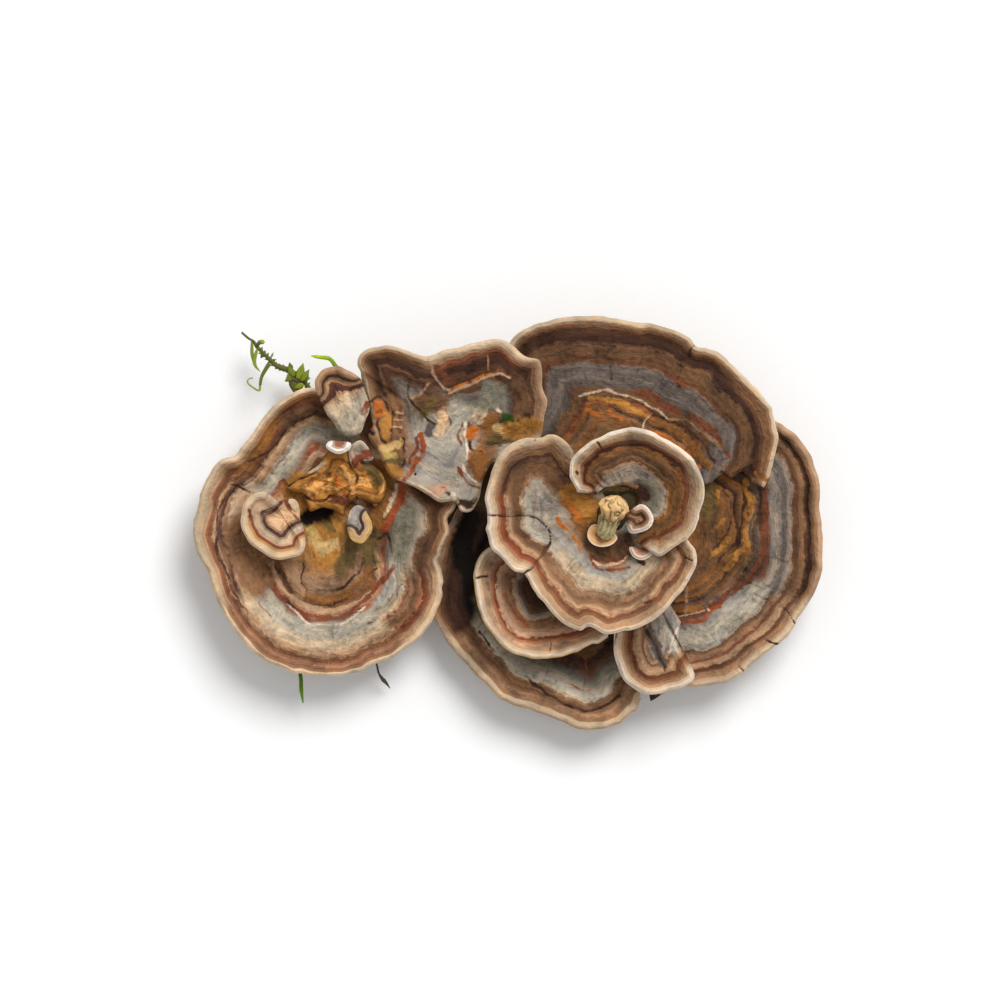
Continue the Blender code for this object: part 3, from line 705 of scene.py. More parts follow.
def cap_finish(name, charts, colours, ragged=1.0, contrast=1.0):
    """The material for one cap, with a chart for most of it and one for each of its other sides."""
    material, tree, shader = new_material(name)
    grain = use_group(tree, GRAIN_GROUP, [("Grain", attribute(tree, "grain", "Vector"))]).outputs
    links = [(title, grain[title]) for title in GRAIN]
    zone = ("Zone", attribute(tree, "zone"))
    position = use_group(tree, POSITION, [*links, zone, ("Ragged", ragged)]).outputs[0]
    for number, chart in enumerate(charts):
        ramp = make(tree, "ValToRGB", [("Fac", position)])
        fill_ramp(ramp, [(at / SPAN, linear(title)) for at, title in read_chart(chart)])
        if number == 0:
            color = ramp.outputs[0]
        else:
            color = mixed(tree, attribute(tree, f"side_{number - 1}"), color, ramp.outputs[0])
    spread = math_node(tree, "MULTIPLY", math_node(tree, "SUBTRACT", grain["Mottle"], 0.5), 0.6)
    for title in colours:
        mask = math_node(tree, "ADD", attribute(tree, f"paint_{title}"), spread)
        color = mixed(tree, step_node(tree, mask, 0.15, 0.9), color, linear(title))
    warmth = step_node(tree, grain["Broad"], 0.35, 0.65)
    color = mixed(tree, 1.0, color, mixed(tree, warmth, COOL, WARM), "MULTIPLY")
    shade = ("Shade", attribute(tree, "shade"))
    value = use_group(tree, VALUE, [*links, zone, shade, ("Contrast", contrast)]).outputs[0]
    color = make(tree, "VectorMath", [(0, color), ("Scale", value)], operation="SCALE").outputs[0]
    place = make(tree, "TexCoord").outputs["Object"]
    pores = use_group(tree, PORES, [("Place", place)]).outputs
    under = step_node(tree, attribute(tree, "under"), 0.15, 0.5)
    color = mixed(tree, under, color, pores["Color"])
    tree.links.new(color, shader.inputs["Base Color"])
    rough = make(tree, "MapRange", [("Value", grain["Fine"]), ("To Min", 0.62), ("To Max", 0.85)])
    tree.links.new(rough.outputs[0], shader.inputs["Roughness"])
    height = math_node(tree, "MULTIPLY", math_node(tree, "ADD", grain["Broad"], grain["Fine"]), 0.3)
    height = math_node(tree, "ADD", height, math_node(tree, "MULTIPLY", grain["Mottle"], 0.7))
    height = mixed(tree, under, height, pores["Height"])
    bump = make(tree, "Bump", [("Strength", 0.8), ("Distance", BUMP_HEIGHT), ("Height", height)])
    tree.links.new(bump.outputs[0], shader.inputs["Normal"])
    shader.inputs["Specular IOR Level"].default_value = SHEEN
    return material


# %% [markdown]
# ## The left rosette
# The largest cap is a ring in a shallow bowl, so its root is a single place. Its zones go from cream
# through rust, tan, sand and grey to ochre tissue. They are wide in the south and crowded in the west
# and north, so five more charts take over there inside soft discs.

# %% The left cap
LEFT_CHART = (
    "0 cream, 0.7 cream, 1.1 clay, 1.6 rust, 2.1 tan, 2.6 rust, 3.2 hazel, 4.1 tan, 4.7 tan, 5.2 sand,"
    "6.8 sand, 7.4 mist, 10.1 mist, 10.6 grey, 11.1 rust, 11.7 terracotta, 12.4 tan, 13.2 tan, 13.6 hazel,"
    "14.1 russet, 14.6 caramel, 15.6 hazel, 17 clay, 18.6 hazel, 19.8 tan, 21 clay, 22 ochre"
)
LEFT_WEST = (
    "0 sand, 1.2 sand, 1.7 tan, 2.1 tan, 2.5 rust, 3.1 hazel, 3.6 tan, 4.1 hazel, 4.6 plum, 5.1 plum,"
    "5.6 tan, 6.2 sand, 8 tan, 10 clay, 11 hazel, 12.4 tan, 13.6 hazel, 14.1 russet, 15 caramel, 22 ochre"
)
LEFT_NORTH_WEST = (
    "0 cream, 0.8 cream, 1.3 tan, 1.8 clay, 2.4 caramel, 3.8 caramel, 4.3 russet, 4.8 brown, 5.2 hazel,"
    "5.8 tan, 6.4 tan, 7.2 clay, 7.8 grey, 8.4 mist, 10 mist, 10.8 grey, 11.8 hazel, 12.3 clay, 13.3 tan,"
    "13.8 hazel, 14.3 umber, 15 bark, 17 caramel, 22 ochre"
)
LEFT_NORTH = (
    "0 cream, 0.7 cream, 1.1 tan, 1.6 caramel, 2.1 russet, 2.7 bark, 3.2 russet, 3.7 bark, 4.2 bark,"
    "4.7 brown, 5.2 brown, 5.7 hazel, 6.2 clay, 6.8 clay, 7.4 sage, 9.6 grey, 10.4 steel, 11.4 hazel,"
    "12.4 rust, 13.2 tan, 13.8 hazel, 14.3 umber, 15 bark, 17 caramel, 22 ochre"
)
LEFT_EAST = (
    "0 tan, 0.5 sand, 1.1 clay, 1.6 hazel, 2.1 hazel, 2.6 brown, 3.6 brown, 4.6 bark, 5.1 hazel, 5.6 grey,"
    "6.2 grey, 7 sage, 9.6 sage, 10.6 steel, 11.1 bark, 11.6 russet, 12.4 bark, 13.1 olive, 14.1 brown,"
    "16 olive, 18 ochre, 22 ochre"
)
LEFT_SOUTH_EAST = (
    "0 cream, 1.2 cream, 1.7 tan, 2.2 tan, 2.7 clay, 3.1 rust, 3.7 russet, 4.1 terracotta, 4.7 hazel,"
    "5.1 bark, 5.6 hazel, 6.1 clay, 6.6 terracotta, 7.1 tan, 7.7 sand, 8.3 sand, 9 grey, 9.6 mist, 10.4 ash,"
    "11.8 ash, 12.2 clay, 12.7 terracotta, 13.3 terracotta, 13.7 rust, 14.3 clay, 15.6 hazel, 17 clay,"
    "18.6 hazel, 19.8 tan, 22 ochre"
)
grow_cap(
    "left_cap",
    rim=[
        (-40.2, 27.2, 12.2), (-33.8, 27.0, 11.2), (-29.0, 29.0, 11.6), (-25.0, 22.0, 10.6),
        (-19.8, 12.6, 10.4), (-14.6, 8.2, 10.8), (-10.6, 5.0, 11.4), (-10.4, 2.8, 11.8),
        (-11.6, 0.4, 11.4), (-11.4, -2.2, 11.8), (-13.2, -7.4, 11.4), (-12.4, -11.4, 12.0),
        (-13.6, -16.8, 11.8), (-17.0, -22.2, 12.4), (-22.2, -26.4, 12.0), (-28.2, -29.4, 12.6),
        (-35.0, -30.8, 12.2), (-42.4, -30.2, 12.8), (-48.6, -27.8, 12.4), (-53.6, -23.4, 13.0),
        (-57.6, -17.6, 12.6), (-60.0, -11.4, 13.2), (-62.6, -5.8, 12.8), (-63.2, -1.4, 13.2),
        (-62.6, 4.0, 13.0), (-60.0, 10.0, 12.8), (-58.0, 12.8, 13.4), (-55.0, 13.8, 12.0),
        (-53.4, 15.8, 12.8), (-51.2, 19.0, 13.0), (-47.8, 23.0, 12.4), (-43.8, 26.0, 12.6),
    ],
    root=(-37.4, 3.6, 8.0),
    chart=LEFT_CHART,
    bowl=1.8,
    widen=[(200, 540, 70, 0.8)],
    sides=[
        (LEFT_WEST, [(208, 500, 48), (210, 565, 45)]),
        (LEFT_NORTH_WEST, [(240, 430, 50), (270, 452, 38)]),
        (LEFT_NORTH, [(310, 400, 38), (345, 405, 55)]),
        (LEFT_EAST, [(440, 545, 42), (405, 520, 45), (430, 500, 45)]),
        (LEFT_SOUTH_EAST, [(432, 612, 42), (402, 600, 30)]),
    ],
    rough_ends=[(455, 555, 60, 1.0)],
    marks=[
        ("umber", 3, -0.3, [(230, 484), (238, 488), (247, 494)]),
        ("bark", 3, -0.2, [(231, 480), (242, 472), (251, 462)]),
        ("umber", 3, -0.1, [(249, 462), (272, 447), (292, 425), (319, 411)]),
        ("plum", 3, -0.05, [(229, 491), (219, 511), (217, 535), (221, 564), (233, 592), (247, 615)]),
        ("rust", 2, -0.05, [(257, 600), (262, 608), (270, 617)]),
        ("rust", 2, -0.05, [(396, 596), (402, 586)]),
        ("rust", 3, -0.05, [(370, 623), (374, 621)]),
        ("rust", 5, -0.1, [(266, 568), (276, 592), (294, 611), (319, 621), (343, 619), (360, 604),
                           (380, 584), (392, 566)]),
        ("bone", 2, 0.1, [(285, 605), (300, 617), (322, 626), (345, 623), (366, 608)]),
        ("sienna", 9, -0.05, [(401, 480), (400, 498), (393, 513), (384, 529)]),
        ("umber", 3, -0.2, [(276, 564), (286, 584), (302, 600), (323, 606), (343, 600), (360, 584),
                            (376, 568)]),
        ("caramel", 8, 0.1, [(296, 592), (316, 602), (338, 598), (356, 586), (370, 570)]),
        ("umber", 3, -0.2, [(300, 583), (318, 590), (340, 588), (356, 575), (364, 560)]),
        ("clay", 12, 0.5, [(287, 562), (292, 576), (299, 592)]),
        ("brown", 6, -0.3, [(279, 566), (284, 580), (291, 594)]),
        ("umber", 2, -0.2, [(302, 562), (303, 580), (308, 590)]),
        ("ochre", 50, 0.3, [(325, 530), (325, 548)]),
        ("butter", 12, 0.1, [(312, 532), (320, 548), (334, 546)]),
        # Painted shade: a hazel band with an umber core where the kidney cap shades the left cap.
        ("hazel", 34, 0.0, [(238, 530), (244, 556), (256, 580)]),
        ("umber", 16, 0.0, [(248, 536), (254, 558), (266, 574)]),
        ("gold", 10, 0.1, [(310, 526), (314, 534)]),
        ("ochre", 24, 0.3, [(298, 482), (294, 500), (300, 510)]),
        ("caramel", 18, 0.3, [(376, 466), (386, 480), (384, 500), (376, 520)]),
        ("amber", 5, 0.4, [(374, 506), (378, 494), (384, 486)]),
        ("umber", 3, -0.3, [(390, 472), (392, 492), (386, 508), (378, 524)]),
        ("sand", 4, 0.2, [(396, 486), (392, 502), (384, 516)]),
        ("umber", 3, -0.3, [(286, 484), (284, 496), (290, 506)]),
        ("clay", 20, 0.2, [(316, 562), (328, 560)]),
        ("olive", 14, -0.1, [(352, 530), (350, 552), (340, 568)]),
        ("olive", 8, 0.0, [(328, 520), (330, 530)]),
        ("clay", 14, 0.0, [(310, 580), (330, 584)]),
        ("olive", 16, 0.1, [(365, 545), (372, 560)]),
        ("umber", 3, -0.3, [(378, 540), (386, 536), (390, 552)]),
        ("umber", 2.5, -0.2, [(305, 547), (319, 547)]),
        ("umber", 2.5, -0.2, [(319, 531), (319, 543)]),
        ("rust", 4, 0.0, [(319, 562), (316, 570)]),
        # Painted shade: the hollow below the heart is sunk a little and painted black.
        ("black", 18, -1.0, [(308, 518), (315, 513), (325, 512)]),
        ("rust", 6, -0.05, [(308, 455), (316, 446)]),
        ("rust", 5, -0.05, [(278, 488), (284, 480)]),
        # Painted shade along the lower edge of the kidney cap.
        ("hazel", 12, -0.1, [(275, 545), (268, 560)]),
    ],
)

# %% [markdown]
# The middle of the rosette is a wrinkled heart of ochre tissue. Lumps of noise give its folds, and
# dark marks draw the creases where the photograph has them.

# %% The heart
HEART_CHART = (
    "0 caramel, 0.5 ochre, 1.2 ochre, 1.8 caramel, 2.2 ochre, 3 ochre, 3.6 amber, 4.2 ochre, 4.6 caramel,"
    "5 ochre, 6 ochre, 6.6 amber, 8 ochre"
)
grow_cap(
    "left_heart",
    rim=[
        (-44.6, 7.2, 10.2), (-41.8, 9.2, 11.0), (-38.4, 11.8, 11.6), (-36.4, 14.6, 12.0),
        (-32.8, 15.0, 12.2), (-30.4, 13.0, 11.8), (-26.8, 11.4, 11.6), (-24.6, 9.0, 11.6),
        (-24.4, 5.6, 11.2), (-26.2, 3.8, 10.8), (-28.8, 4.4, 11.2), (-30.8, 4.6, 11.4),
        (-32.6, 3.2, 11.2), (-33.0, 1.0, 10.6), (-35.0, 2.2, 11.4), (-37.4, 3.0, 11.8),
        (-39.8, 2.2, 11.2), (-40.6, 3.6, 11.0), (-41.2, 5.6, 11.0), (-43.4, 6.0, 10.4),
    ],
    root=(-35.2, 8.2, 12.4),
    chart=HEART_CHART,
    slot="ochre_tissue",
    thickness=1.3,
    step=0.2,
    nicks=0.3,
    neck=(-35.6, 7.0, 4.0, 8.9),
    wrinkle=0.12,
    lumps=[(1.7, 1.3, 0.2), (0.8, 0.7, 0.2)],
    marks=[
        ("orange", 6, 0.6, [(331, 476), (339, 485), (347, 494)]),
        ("umber", 2.5, -0.5, [(288, 484), (295, 480), (302, 478), (323, 468)]),
        ("umber", 2.5, -0.5, [(355, 498), (360, 510)]),
        ("umber", 2.5, -0.5, [(350, 462), (356, 474), (352, 486), (344, 496)]),
        ("umber", 2.5, -0.4, [(306, 496), (316, 500), (330, 496)]),
        ("russet", 9, -0.3, [(333, 500), (344, 500)]),
        ("amber", 9, 0.4, [(310, 490), (320, 484)]),
        ("amber", 6, 0.4, [(343, 466), (350, 480), (352, 492)]),
        ("sand", 9, 0.3, [(310, 468), (320, 466)]),
        ("olive", 12, -0.2, [(368, 466), (376, 480)]),
        ("amber", 4, 0.4, [(378, 470), (384, 482), (378, 494)]),
        ("umber", 3, -0.4, [(386, 470), (392, 490), (384, 500)]),
    ],
    contrast=1.1,
    ragged=2.2,
)

# %% [markdown]
# Small caps stand round the heart. The cream and pink one at its left meets it with its right side, so
# that side is bare and the zones follow the free edge.

# %% The kidney cap
KIDNEY_CHART = (
    "0 cream, 1.0 cream, 1.6 butter, 2.0 terracotta, 2.4 rust, 2.7 pink, 3.4 sand, 4.0 sand, 4.4 plum,"
    "5.0 plum, 5.5 tan, 6.2 peach, 12 peach"
)
grow_cap(
    "kidney_cap",
    rim=[
        (-49.4, 6.4, 15.6), (-47.6, 5.6, 14.8), (-46.2, 4.4, 14.0), (-44.4, 5.0, 13.6),
        (-42.6, 5.0, 13.4), (-41.4, 3.0, 13.0), (-41.2, 0.2, 13.2), (-40.6, -3.4, 14.4),
        (-41.2, -6.0, 15.2), (-43.4, -7.4, 15.6), (-46.6, -7.4, 15.8), (-49.8, -5.8, 16.0),
        (-52.4, -3.4, 16.0), (-53.8, -0.2, 16.2), (-53.4, 3.2, 16.0), (-51.8, 5.4, 15.8),
    ],
    root=(-44.8, 0.8, 13.4),
    chart=KIDNEY_CHART,
    slot="pale_cap",
    thickness=1.1,
    step=0.2,
    neck=(-44.4, 0.9, 2.4, 9.2),
    bare=[(306, 508, 36), (275, 492, 16)],
    drift=0.2,
    sides=[("0 cream, 1.2 cream, 1.7 tan, 2.2 cream, 2.7 pink, 3.4 sand, 4 plum, 4.5 plum, 5 tan, 6 peach",
            [(252, 498, 22)])],
    marks=[
        ("cream", 12, 0.1, [(290, 498), (294, 506)]),
        ("umber", 2, -0.2, [(283, 498), (287, 506), (294, 512)]),
        ("rust", 4, -0.1, [(285, 500), (290, 512), (299, 520)]),
        ("rust", 3, -0.2, [(250, 512), (252, 519)]),
    ],
    ragged=0.3,
    contrast=0.35,
)

# %% [markdown]
# The oval one at the lower right is bare at its upper left, and its few zones follow the rest of its
# edge.

# %% The thumb cap
THUMB_CHART = "0 butter, 0.8 butter, 1.1 tan, 1.5 cream, 1.8 umber, 2.1 umber, 2.4 ash, 6 mist"
grow_cap(
    "thumb_cap",
    rim=[
        (-32.0, 2.8, 12.8), (-30.6, 3.8, 12.6), (-29.0, 3.2, 12.8), (-27.6, 1.2, 13.4),
        (-27.2, -1.2, 13.6), (-28.2, -3.4, 13.6), (-29.8, -4.2, 13.6), (-31.6, -3.4, 13.4),
        (-32.4, -1.4, 13.2), (-32.4, 1.0, 13.0),
    ],
    root=(-30.2, 0.2, 12.6),
    chart=THUMB_CHART,
    slot="pale_cap",
    thickness=1.1,
    step=0.16,
    neck=(-30.2, 0.3, 1.4, 9.1),
    bare=[(346, 512, 24)],
    drift=0.2,
    marks=[("bone", 3, 0.1, [(348, 510), (349, 518)])],
    ragged=0.3,
    contrast=0.5,
)

# %% [markdown]
# The narrow one at the top grew up and to the left. Its lower end and its right side are bare, so the
# zones follow only its upper left edge.

# %% The upper cap
UPPER_CHART = (
    "0 tan, 0.8 tan, 1.3 clay, 1.7 brown, 2.1 brown, 2.5 clay, 2.9 tan, 3.3 russet, 3.8 plum, 4.5 plum,"
    "4.9 tan, 5.6 sand, 8 mist, 14 sand"
)
grow_cap(
    "upper_cap",
    rim=[
        (-34.0, 18.2, 14.2), (-35.6, 20.4, 14.8), (-37.0, 22.4, 15.4), (-38.2, 25.0, 16.2),
        (-39.2, 27.2, 16.6), (-38.6, 29.2, 16.8), (-37.0, 30.8, 17.0), (-34.2, 31.4, 17.2),
        (-32.0, 31.0, 17.0), (-30.4, 29.8, 16.8), (-29.2, 28.2, 16.6), (-28.4, 25.8, 16.2),
        (-27.8, 22.8, 15.6), (-28.6, 20.2, 15.0), (-29.6, 18.0, 14.6), (-31.8, 17.2, 14.2),
    ],
    root=(-33.0, 24.0, 14.6),
    chart=UPPER_CHART,
    thickness=1.1,
    step=0.2,
    neck=(-32.6, 21.2, 1.8, 10.8),
    bare=[(346, 428, 46), (370, 386, 20)],
    widen=[(364, 392, 22, 1.5), (322, 402, 22, 1.4)],
    drift=0.4,
    marks=[
        ("bone", 2, 0.1, [(368, 390), (372, 405), (368, 420), (364, 436)]),
        ("umber", 2, -0.2, [(318, 412), (326, 420), (332, 430)]),
        ("rust", 6, -0.1, [(364, 412), (367, 404)]),
    ],
)

# %% [markdown]
# Two more hang below that one: a grey lobe with a patch of rust, and a tiny cap with a white rim.

# %% The hanging lobe and the white lip
LOBE_CHART = "0 bone, 0.4 cream, 0.8 grey, 4 ash"
grow_cap(
    "hanging_lobe",
    rim=[
        (-31.2, 16.0, 13.6), (-29.6, 16.6, 13.8), (-28.2, 15.4, 13.8), (-27.0, 13.2, 13.6),
        (-27.6, 12.4, 13.4), (-29.4, 12.2, 13.4), (-31.0, 11.0, 13.4), (-32.0, 12.8, 13.4),
        (-32.2, 14.6, 13.4),
    ],
    root=(-29.8, 14.2, 13.4),
    chart=LOBE_CHART,
    thickness=1.1,
    step=0.16,
    marks=[("rust", 9, 0.0, [(356, 462), (363, 456), (369, 453)])],
)
LIP_CHART = "0 white, 0.9 white, 1.3 terracotta, 3 terracotta"
grow_cap(
    "white_lip",
    rim=[
        (-36.6, 15.4, 15.6), (-35.8, 16.4, 15.4), (-33.6, 16.4, 15.2), (-31.6, 16.0, 15.6),
        (-31.8, 14.8, 15.8), (-33.0, 14.0, 15.8), (-34.4, 13.8, 15.8), (-35.8, 14.4, 15.8),
    ],
    root=(-34.0, 15.4, 15.2),
    chart=LIP_CHART,
    slot="pale_cap",
    thickness=1.1,
    step=0.13,
    nicks=0.1,
    neck=(-34.4, 14.9, 0.8, 12.6),
    bare=[(340, 436, 14)],
    drift=0.1,
    ragged=0.2,
    contrast=0.2,
)

# %% [markdown]
# ## The ruffled cap between the rosettes
# It has two lobes along its top, and it runs down to a small curled lobe at the gap. Its middle is too
# folded and torn for zones. So a chart of plain grey tissue takes over there, and marks draw the folds
# and ridges on it, each with a lift of its own.

# %% The middle cap
MIDDLE_CHART = (
    "0 cream, 0.6 cream, 1.2 sand, 1.7 tan, 2.3 terracotta, 2.9 russet, 3.5 umber, 4.8 umber, 5.6 brown,"
    "6.3 brown, 7 umber, 7.5 bark, 8.6 bark, 9.1 steel, 10.1 slate, 11.1 sage, 12 grey, 13.1 steel,"
    "14.1 grey, 15.2 tan, 17 tan"
)
MIDDLE_WEST = (
    "0 sand, 0.5 sand, 1 clay, 1.6 hazel, 2.2 bark, 2.7 brown, 3.2 umber, 3.8 umber, 4.3 bark, 4.9 umber,"
    "5.6 brown, 6.4 slate, 7.2 steel, 8.2 sage, 9 grey, 10 sage, 11 steel, 12.5 bark, 20 hazel"
)
MIDDLE_EAST = (
    "0 sand, 0.4 tan, 1 clay, 1.8 clay, 2.3 bark, 2.8 umber, 3.4 umber, 4 brown, 6.2 brown, 6.8 slate,"
    "8 steel, 9 slate, 20 slate"
)
MIDDLE_OTHER = "0 cream, 0.4 cream, 0.9 mist, 3 ash, 5 mist, 7 ash, 9 mist, 20 ash"
grow_cap(
    "middle_cap",
    rim=[
        (-28.2, 17.2, 15.0), (-27.4, 19.8, 14.8), (-28.0, 23.0, 14.6), (-28.8, 26.4, 15.0),
        (-29.6, 28.8, 15.4), (-30.0, 30.4, 16.2), (-30.8, 32.0, 17.2), (-30.0, 34.2, 17.6),
        (-27.6, 35.4, 17.8), (-23.8, 35.6, 17.6), (-20.2, 34.6, 18.0), (-16.2, 33.6, 17.0),
        (-13.0, 34.8, 17.6), (-9.4, 35.4, 18.2), (-5.0, 36.6, 18.0), (-1.2, 36.8, 18.4),
        (1.4, 35.2, 18.4), (3.8, 33.2, 18.8), (6.2, 32.6, 18.6), (6.8, 30.2, 18.8),
        (6.8, 27.4, 18.4), (7.8, 24.2, 18.8), (7.4, 20.6, 18.0), (6.6, 16.8, 17.0),
        (2.6, 13.4, 15.6), (-3.0, 12.0, 14.6), (-5.0, 8.4, 14.4), (-5.8, 5.0, 14.4),
        (-7.4, 2.2, 14.8), (-9.6, 2.2, 14.6), (-10.8, 4.0, 14.2), (-14.2, 4.2, 14.2),
        (-17.8, 6.4, 14.0), (-21.4, 8.2, 14.0), (-23.8, 9.2, 14.0), (-25.0, 11.4, 14.2),
        (-25.8, 13.6, 14.4),
    ],
    root=(-11.8, 18.6, 14.4),
    chart=MIDDLE_CHART,
    sides=[
        (MIDDLE_WEST, [(385, 370, 45), (410, 395, 35)]),
        (MIDDLE_EAST, [(545, 390, 38), (530, 405, 30)]),
        (MIDDLE_OTHER, [(400, 480, 60), (440, 500, 50), (480, 470, 45), (380, 430, 25), (450, 430, 32)]),
    ],
    marks=[
        ("hazel", 34, 0.1, [(388, 412), (394, 440), (390, 466)]),
        ("hazel", 24, 0.1, [(488, 424), (486, 446), (480, 466)]),
        ("umber", 2, -0.3, [(409, 382), (409, 398), (420, 410), (430, 421), (436, 423)]),
        ("bark", 24, 0.3, [(424, 402), (438, 402)]),
        ("olive", 10, 0.1, [(424, 412), (432, 404)]),
        ("pink", 3, 0.3, [(429, 358), (430, 368), (434, 376), (442, 384), (449, 391)]),
        ("tan", 3, 0.3, [(411, 398), (424, 390), (431, 384)]),
        ("russet", 8, 0.0, [(436, 368), (444, 376), (450, 384)]),
        ("tan", 3, 0.3, [(449, 394), (468, 385), (479, 380), (500, 375), (511, 379)]),
        ("orange", 2, 0.0, [(450, 391), (468, 382), (479, 377), (500, 372)]),
        ("bark", 14, 0.1, [(520, 385), (526, 400), (520, 414)]),
        ("clay", 2, 0.2, [(487, 358), (489, 370)]),
        ("sand", 6, 0.3, [(474, 418), (480, 410), (484, 424)]),
        ("cream", 4, 0.4, [(474, 416), (482, 423), (486, 410), (493, 407), (501, 411)]),
        ("caramel", 10, 0.1, [(494, 416), (486, 428)]),
        ("moss", 10, 0.3, [(508, 418), (513, 422)]),
        ("butter", 10, 0.0, [(498, 428), (512, 434), (530, 428)]),
        ("ochre", 18, 0.0, [(512, 430), (534, 426)]),
        ("olive", 10, 0.0, [(490, 440), (512, 440)]),
        ("orange", 10, 0.0, [(470, 436), (474, 428)]),
        ("peach", 13, 0.3, [(444, 416), (441, 430)]),
        ("umber", 2.5, -0.2, [(447, 410), (450, 420), (447, 434)]),
        ("slate", 10, -0.3, [(430, 425), (430, 432)]),
        ("rust", 3, 0.1, [(462, 424), (460, 436), (462, 446)]),
        ("bone", 2.5, 0.3, [(465, 422), (466, 436), (467, 448), (464, 460)]),
        ("umber", 2.5, -0.3, [(469, 422), (470, 436), (470, 449), (480, 452)]),
        ("caramel", 20, 0.2, [(478, 460), (482, 472)]),
        ("orange", 8, 0.2, [(470, 456), (480, 452)]),
        ("rust", 4, 0.1, [(460, 468), (466, 482), (478, 489)]),
        ("bone", 3, 0.3, [(464, 464), (468, 476), (476, 482)]),
        ("umber", 7, -0.4, [(462, 503), (470, 504), (476, 498)]),
        ("bone", 3, 0.3, [(461, 508), (467, 513), (475, 508)]),
        ("ochre", 10, 0.3, [(386, 416), (386, 436)]),
        ("umber", 3, -0.4, [(379, 414), (380, 438), (386, 442)]),
        ("umber", 3, -0.4, [(392, 412), (392, 440)]),
        ("orange", 11, 0.4, [(377, 406), (379, 411)]),
        ("umber", 2.5, -0.2, [(370, 402), (378, 398), (386, 404), (388, 412)]),
        ("black", 4, -0.4, [(375, 410), (380, 411)]),
        ("hazel", 12, 0.1, [(370, 424), (372, 440), (376, 450)]),
        ("black", 4, -0.5, [(366, 427), (372, 434)]),
        ("tan", 3, 0.3, [(394, 412), (402, 413)]),
        ("tan", 3, 0.3, [(394, 420), (402, 421)]),
        ("tan", 3, 0.3, [(394, 428), (402, 429)]),
        ("bark", 4, -0.2, [(398, 408), (399, 434)]),
        ("butter", 9, 0.4, [(380, 450), (390, 446), (400, 446)]),
        ("gold", 8, 0.2, [(382, 456), (396, 454)]),
        ("olive", 12, 0.0, [(388, 462), (398, 458)]),
        ("ochre", 12, 0.3, [(388, 470), (398, 472)]),
        ("umber", 3, -0.4, [(376, 460), (384, 462), (392, 458), (402, 464)]),
        ("umber", 3, -0.4, [(404, 440), (406, 458), (402, 470)]),
        ("cream", 3, 0.4, [(381, 466), (387, 476), (396, 481), (403, 476)]),
        ("clay", 10, 0.2, [(412, 446), (412, 462)]),
        ("sienna", 6, 0.1, [(421, 436), (423, 446), (421, 456), (414, 466), (404, 478)]),
        ("rust", 3, -0.1, [(417, 438), (417, 450), (410, 462)]),
        ("bone", 2.5, 0.3, [(404, 481), (420, 489), (437, 500)]),
        ("pink", 12, 0.1, [(432, 492), (444, 490)]),
        ("umber", 5, -0.4, [(444, 492), (449, 495)]),
        ("bone", 4, 0.3, [(453, 495), (456, 500)]),
        ("black", 3, -0.3, [(415, 474)]),
        ("sage", 18, 0.0, [(488, 390), (502, 396), (486, 404)]),
    ],
    contrast=0.8,
)

# %% [markdown]
# ## The right rosette
# Its caps are fans that grow from one stem. Three broad ones lie below, two small ones over them,
# and two wrap round each other on top like the petals of a rose. The broad one along the top has a
# torn side at the right, and its bites say how far that side is torn back on the way to the rim.

# %% The upper right cap
STEM = (20.6, 1.6)


def stem_arc(start, end, height, gap=5.6):
    """Points beside the stem, clockwise from one bearing to the other, in degrees."""
    bearings = np.radians(np.linspace(start, end, 5))
    return [(STEM[0] + gap * math.cos(b), STEM[1] + gap * math.sin(b), height) for b in bearings]


UPPER_RIGHT_CHART = (
    "0 sand, 0.7 sand, 1.2 clay, 1.7 hazel, 2.1 bark, 2.6 brown, 3.2 umber, 4.6 umber, 5.1 bark, 7.6 bark,"
    "8.1 russet, 8.6 bark, 9.2 steel, 9.8 steel, 10.4 slate, 12 steel, 12.6 slate, 13.2 slate, 13.8 bark,"
    "15.4 bark, 16.1 brown, 16.6 rust, 17.2 caramel, 18.1 bark, 19 hazel, 20.6 caramel, 21.6 hazel,"
    "22.6 olive, 26 olive"
)
UPPER_RIGHT_EAST = (
    "0 cream, 0.6 sand, 1.1 clay, 1.6 hazel, 2.6 hazel, 3.1 brown, 3.7 umber, 4.3 umber, 5.1 bark, 7.1 bark,"
    "7.6 brown, 8.2 umber, 9.2 steel, 10.1 slate, 12.4 slate, 13.3 brown, 14.2 umber, 15.2 hazel,"
    "15.7 hazel, 16.2 brown, 17.1 caramel, 18.1 brown, 19.5 caramel, 21 caramel, 22 brown, 26 olive"
)
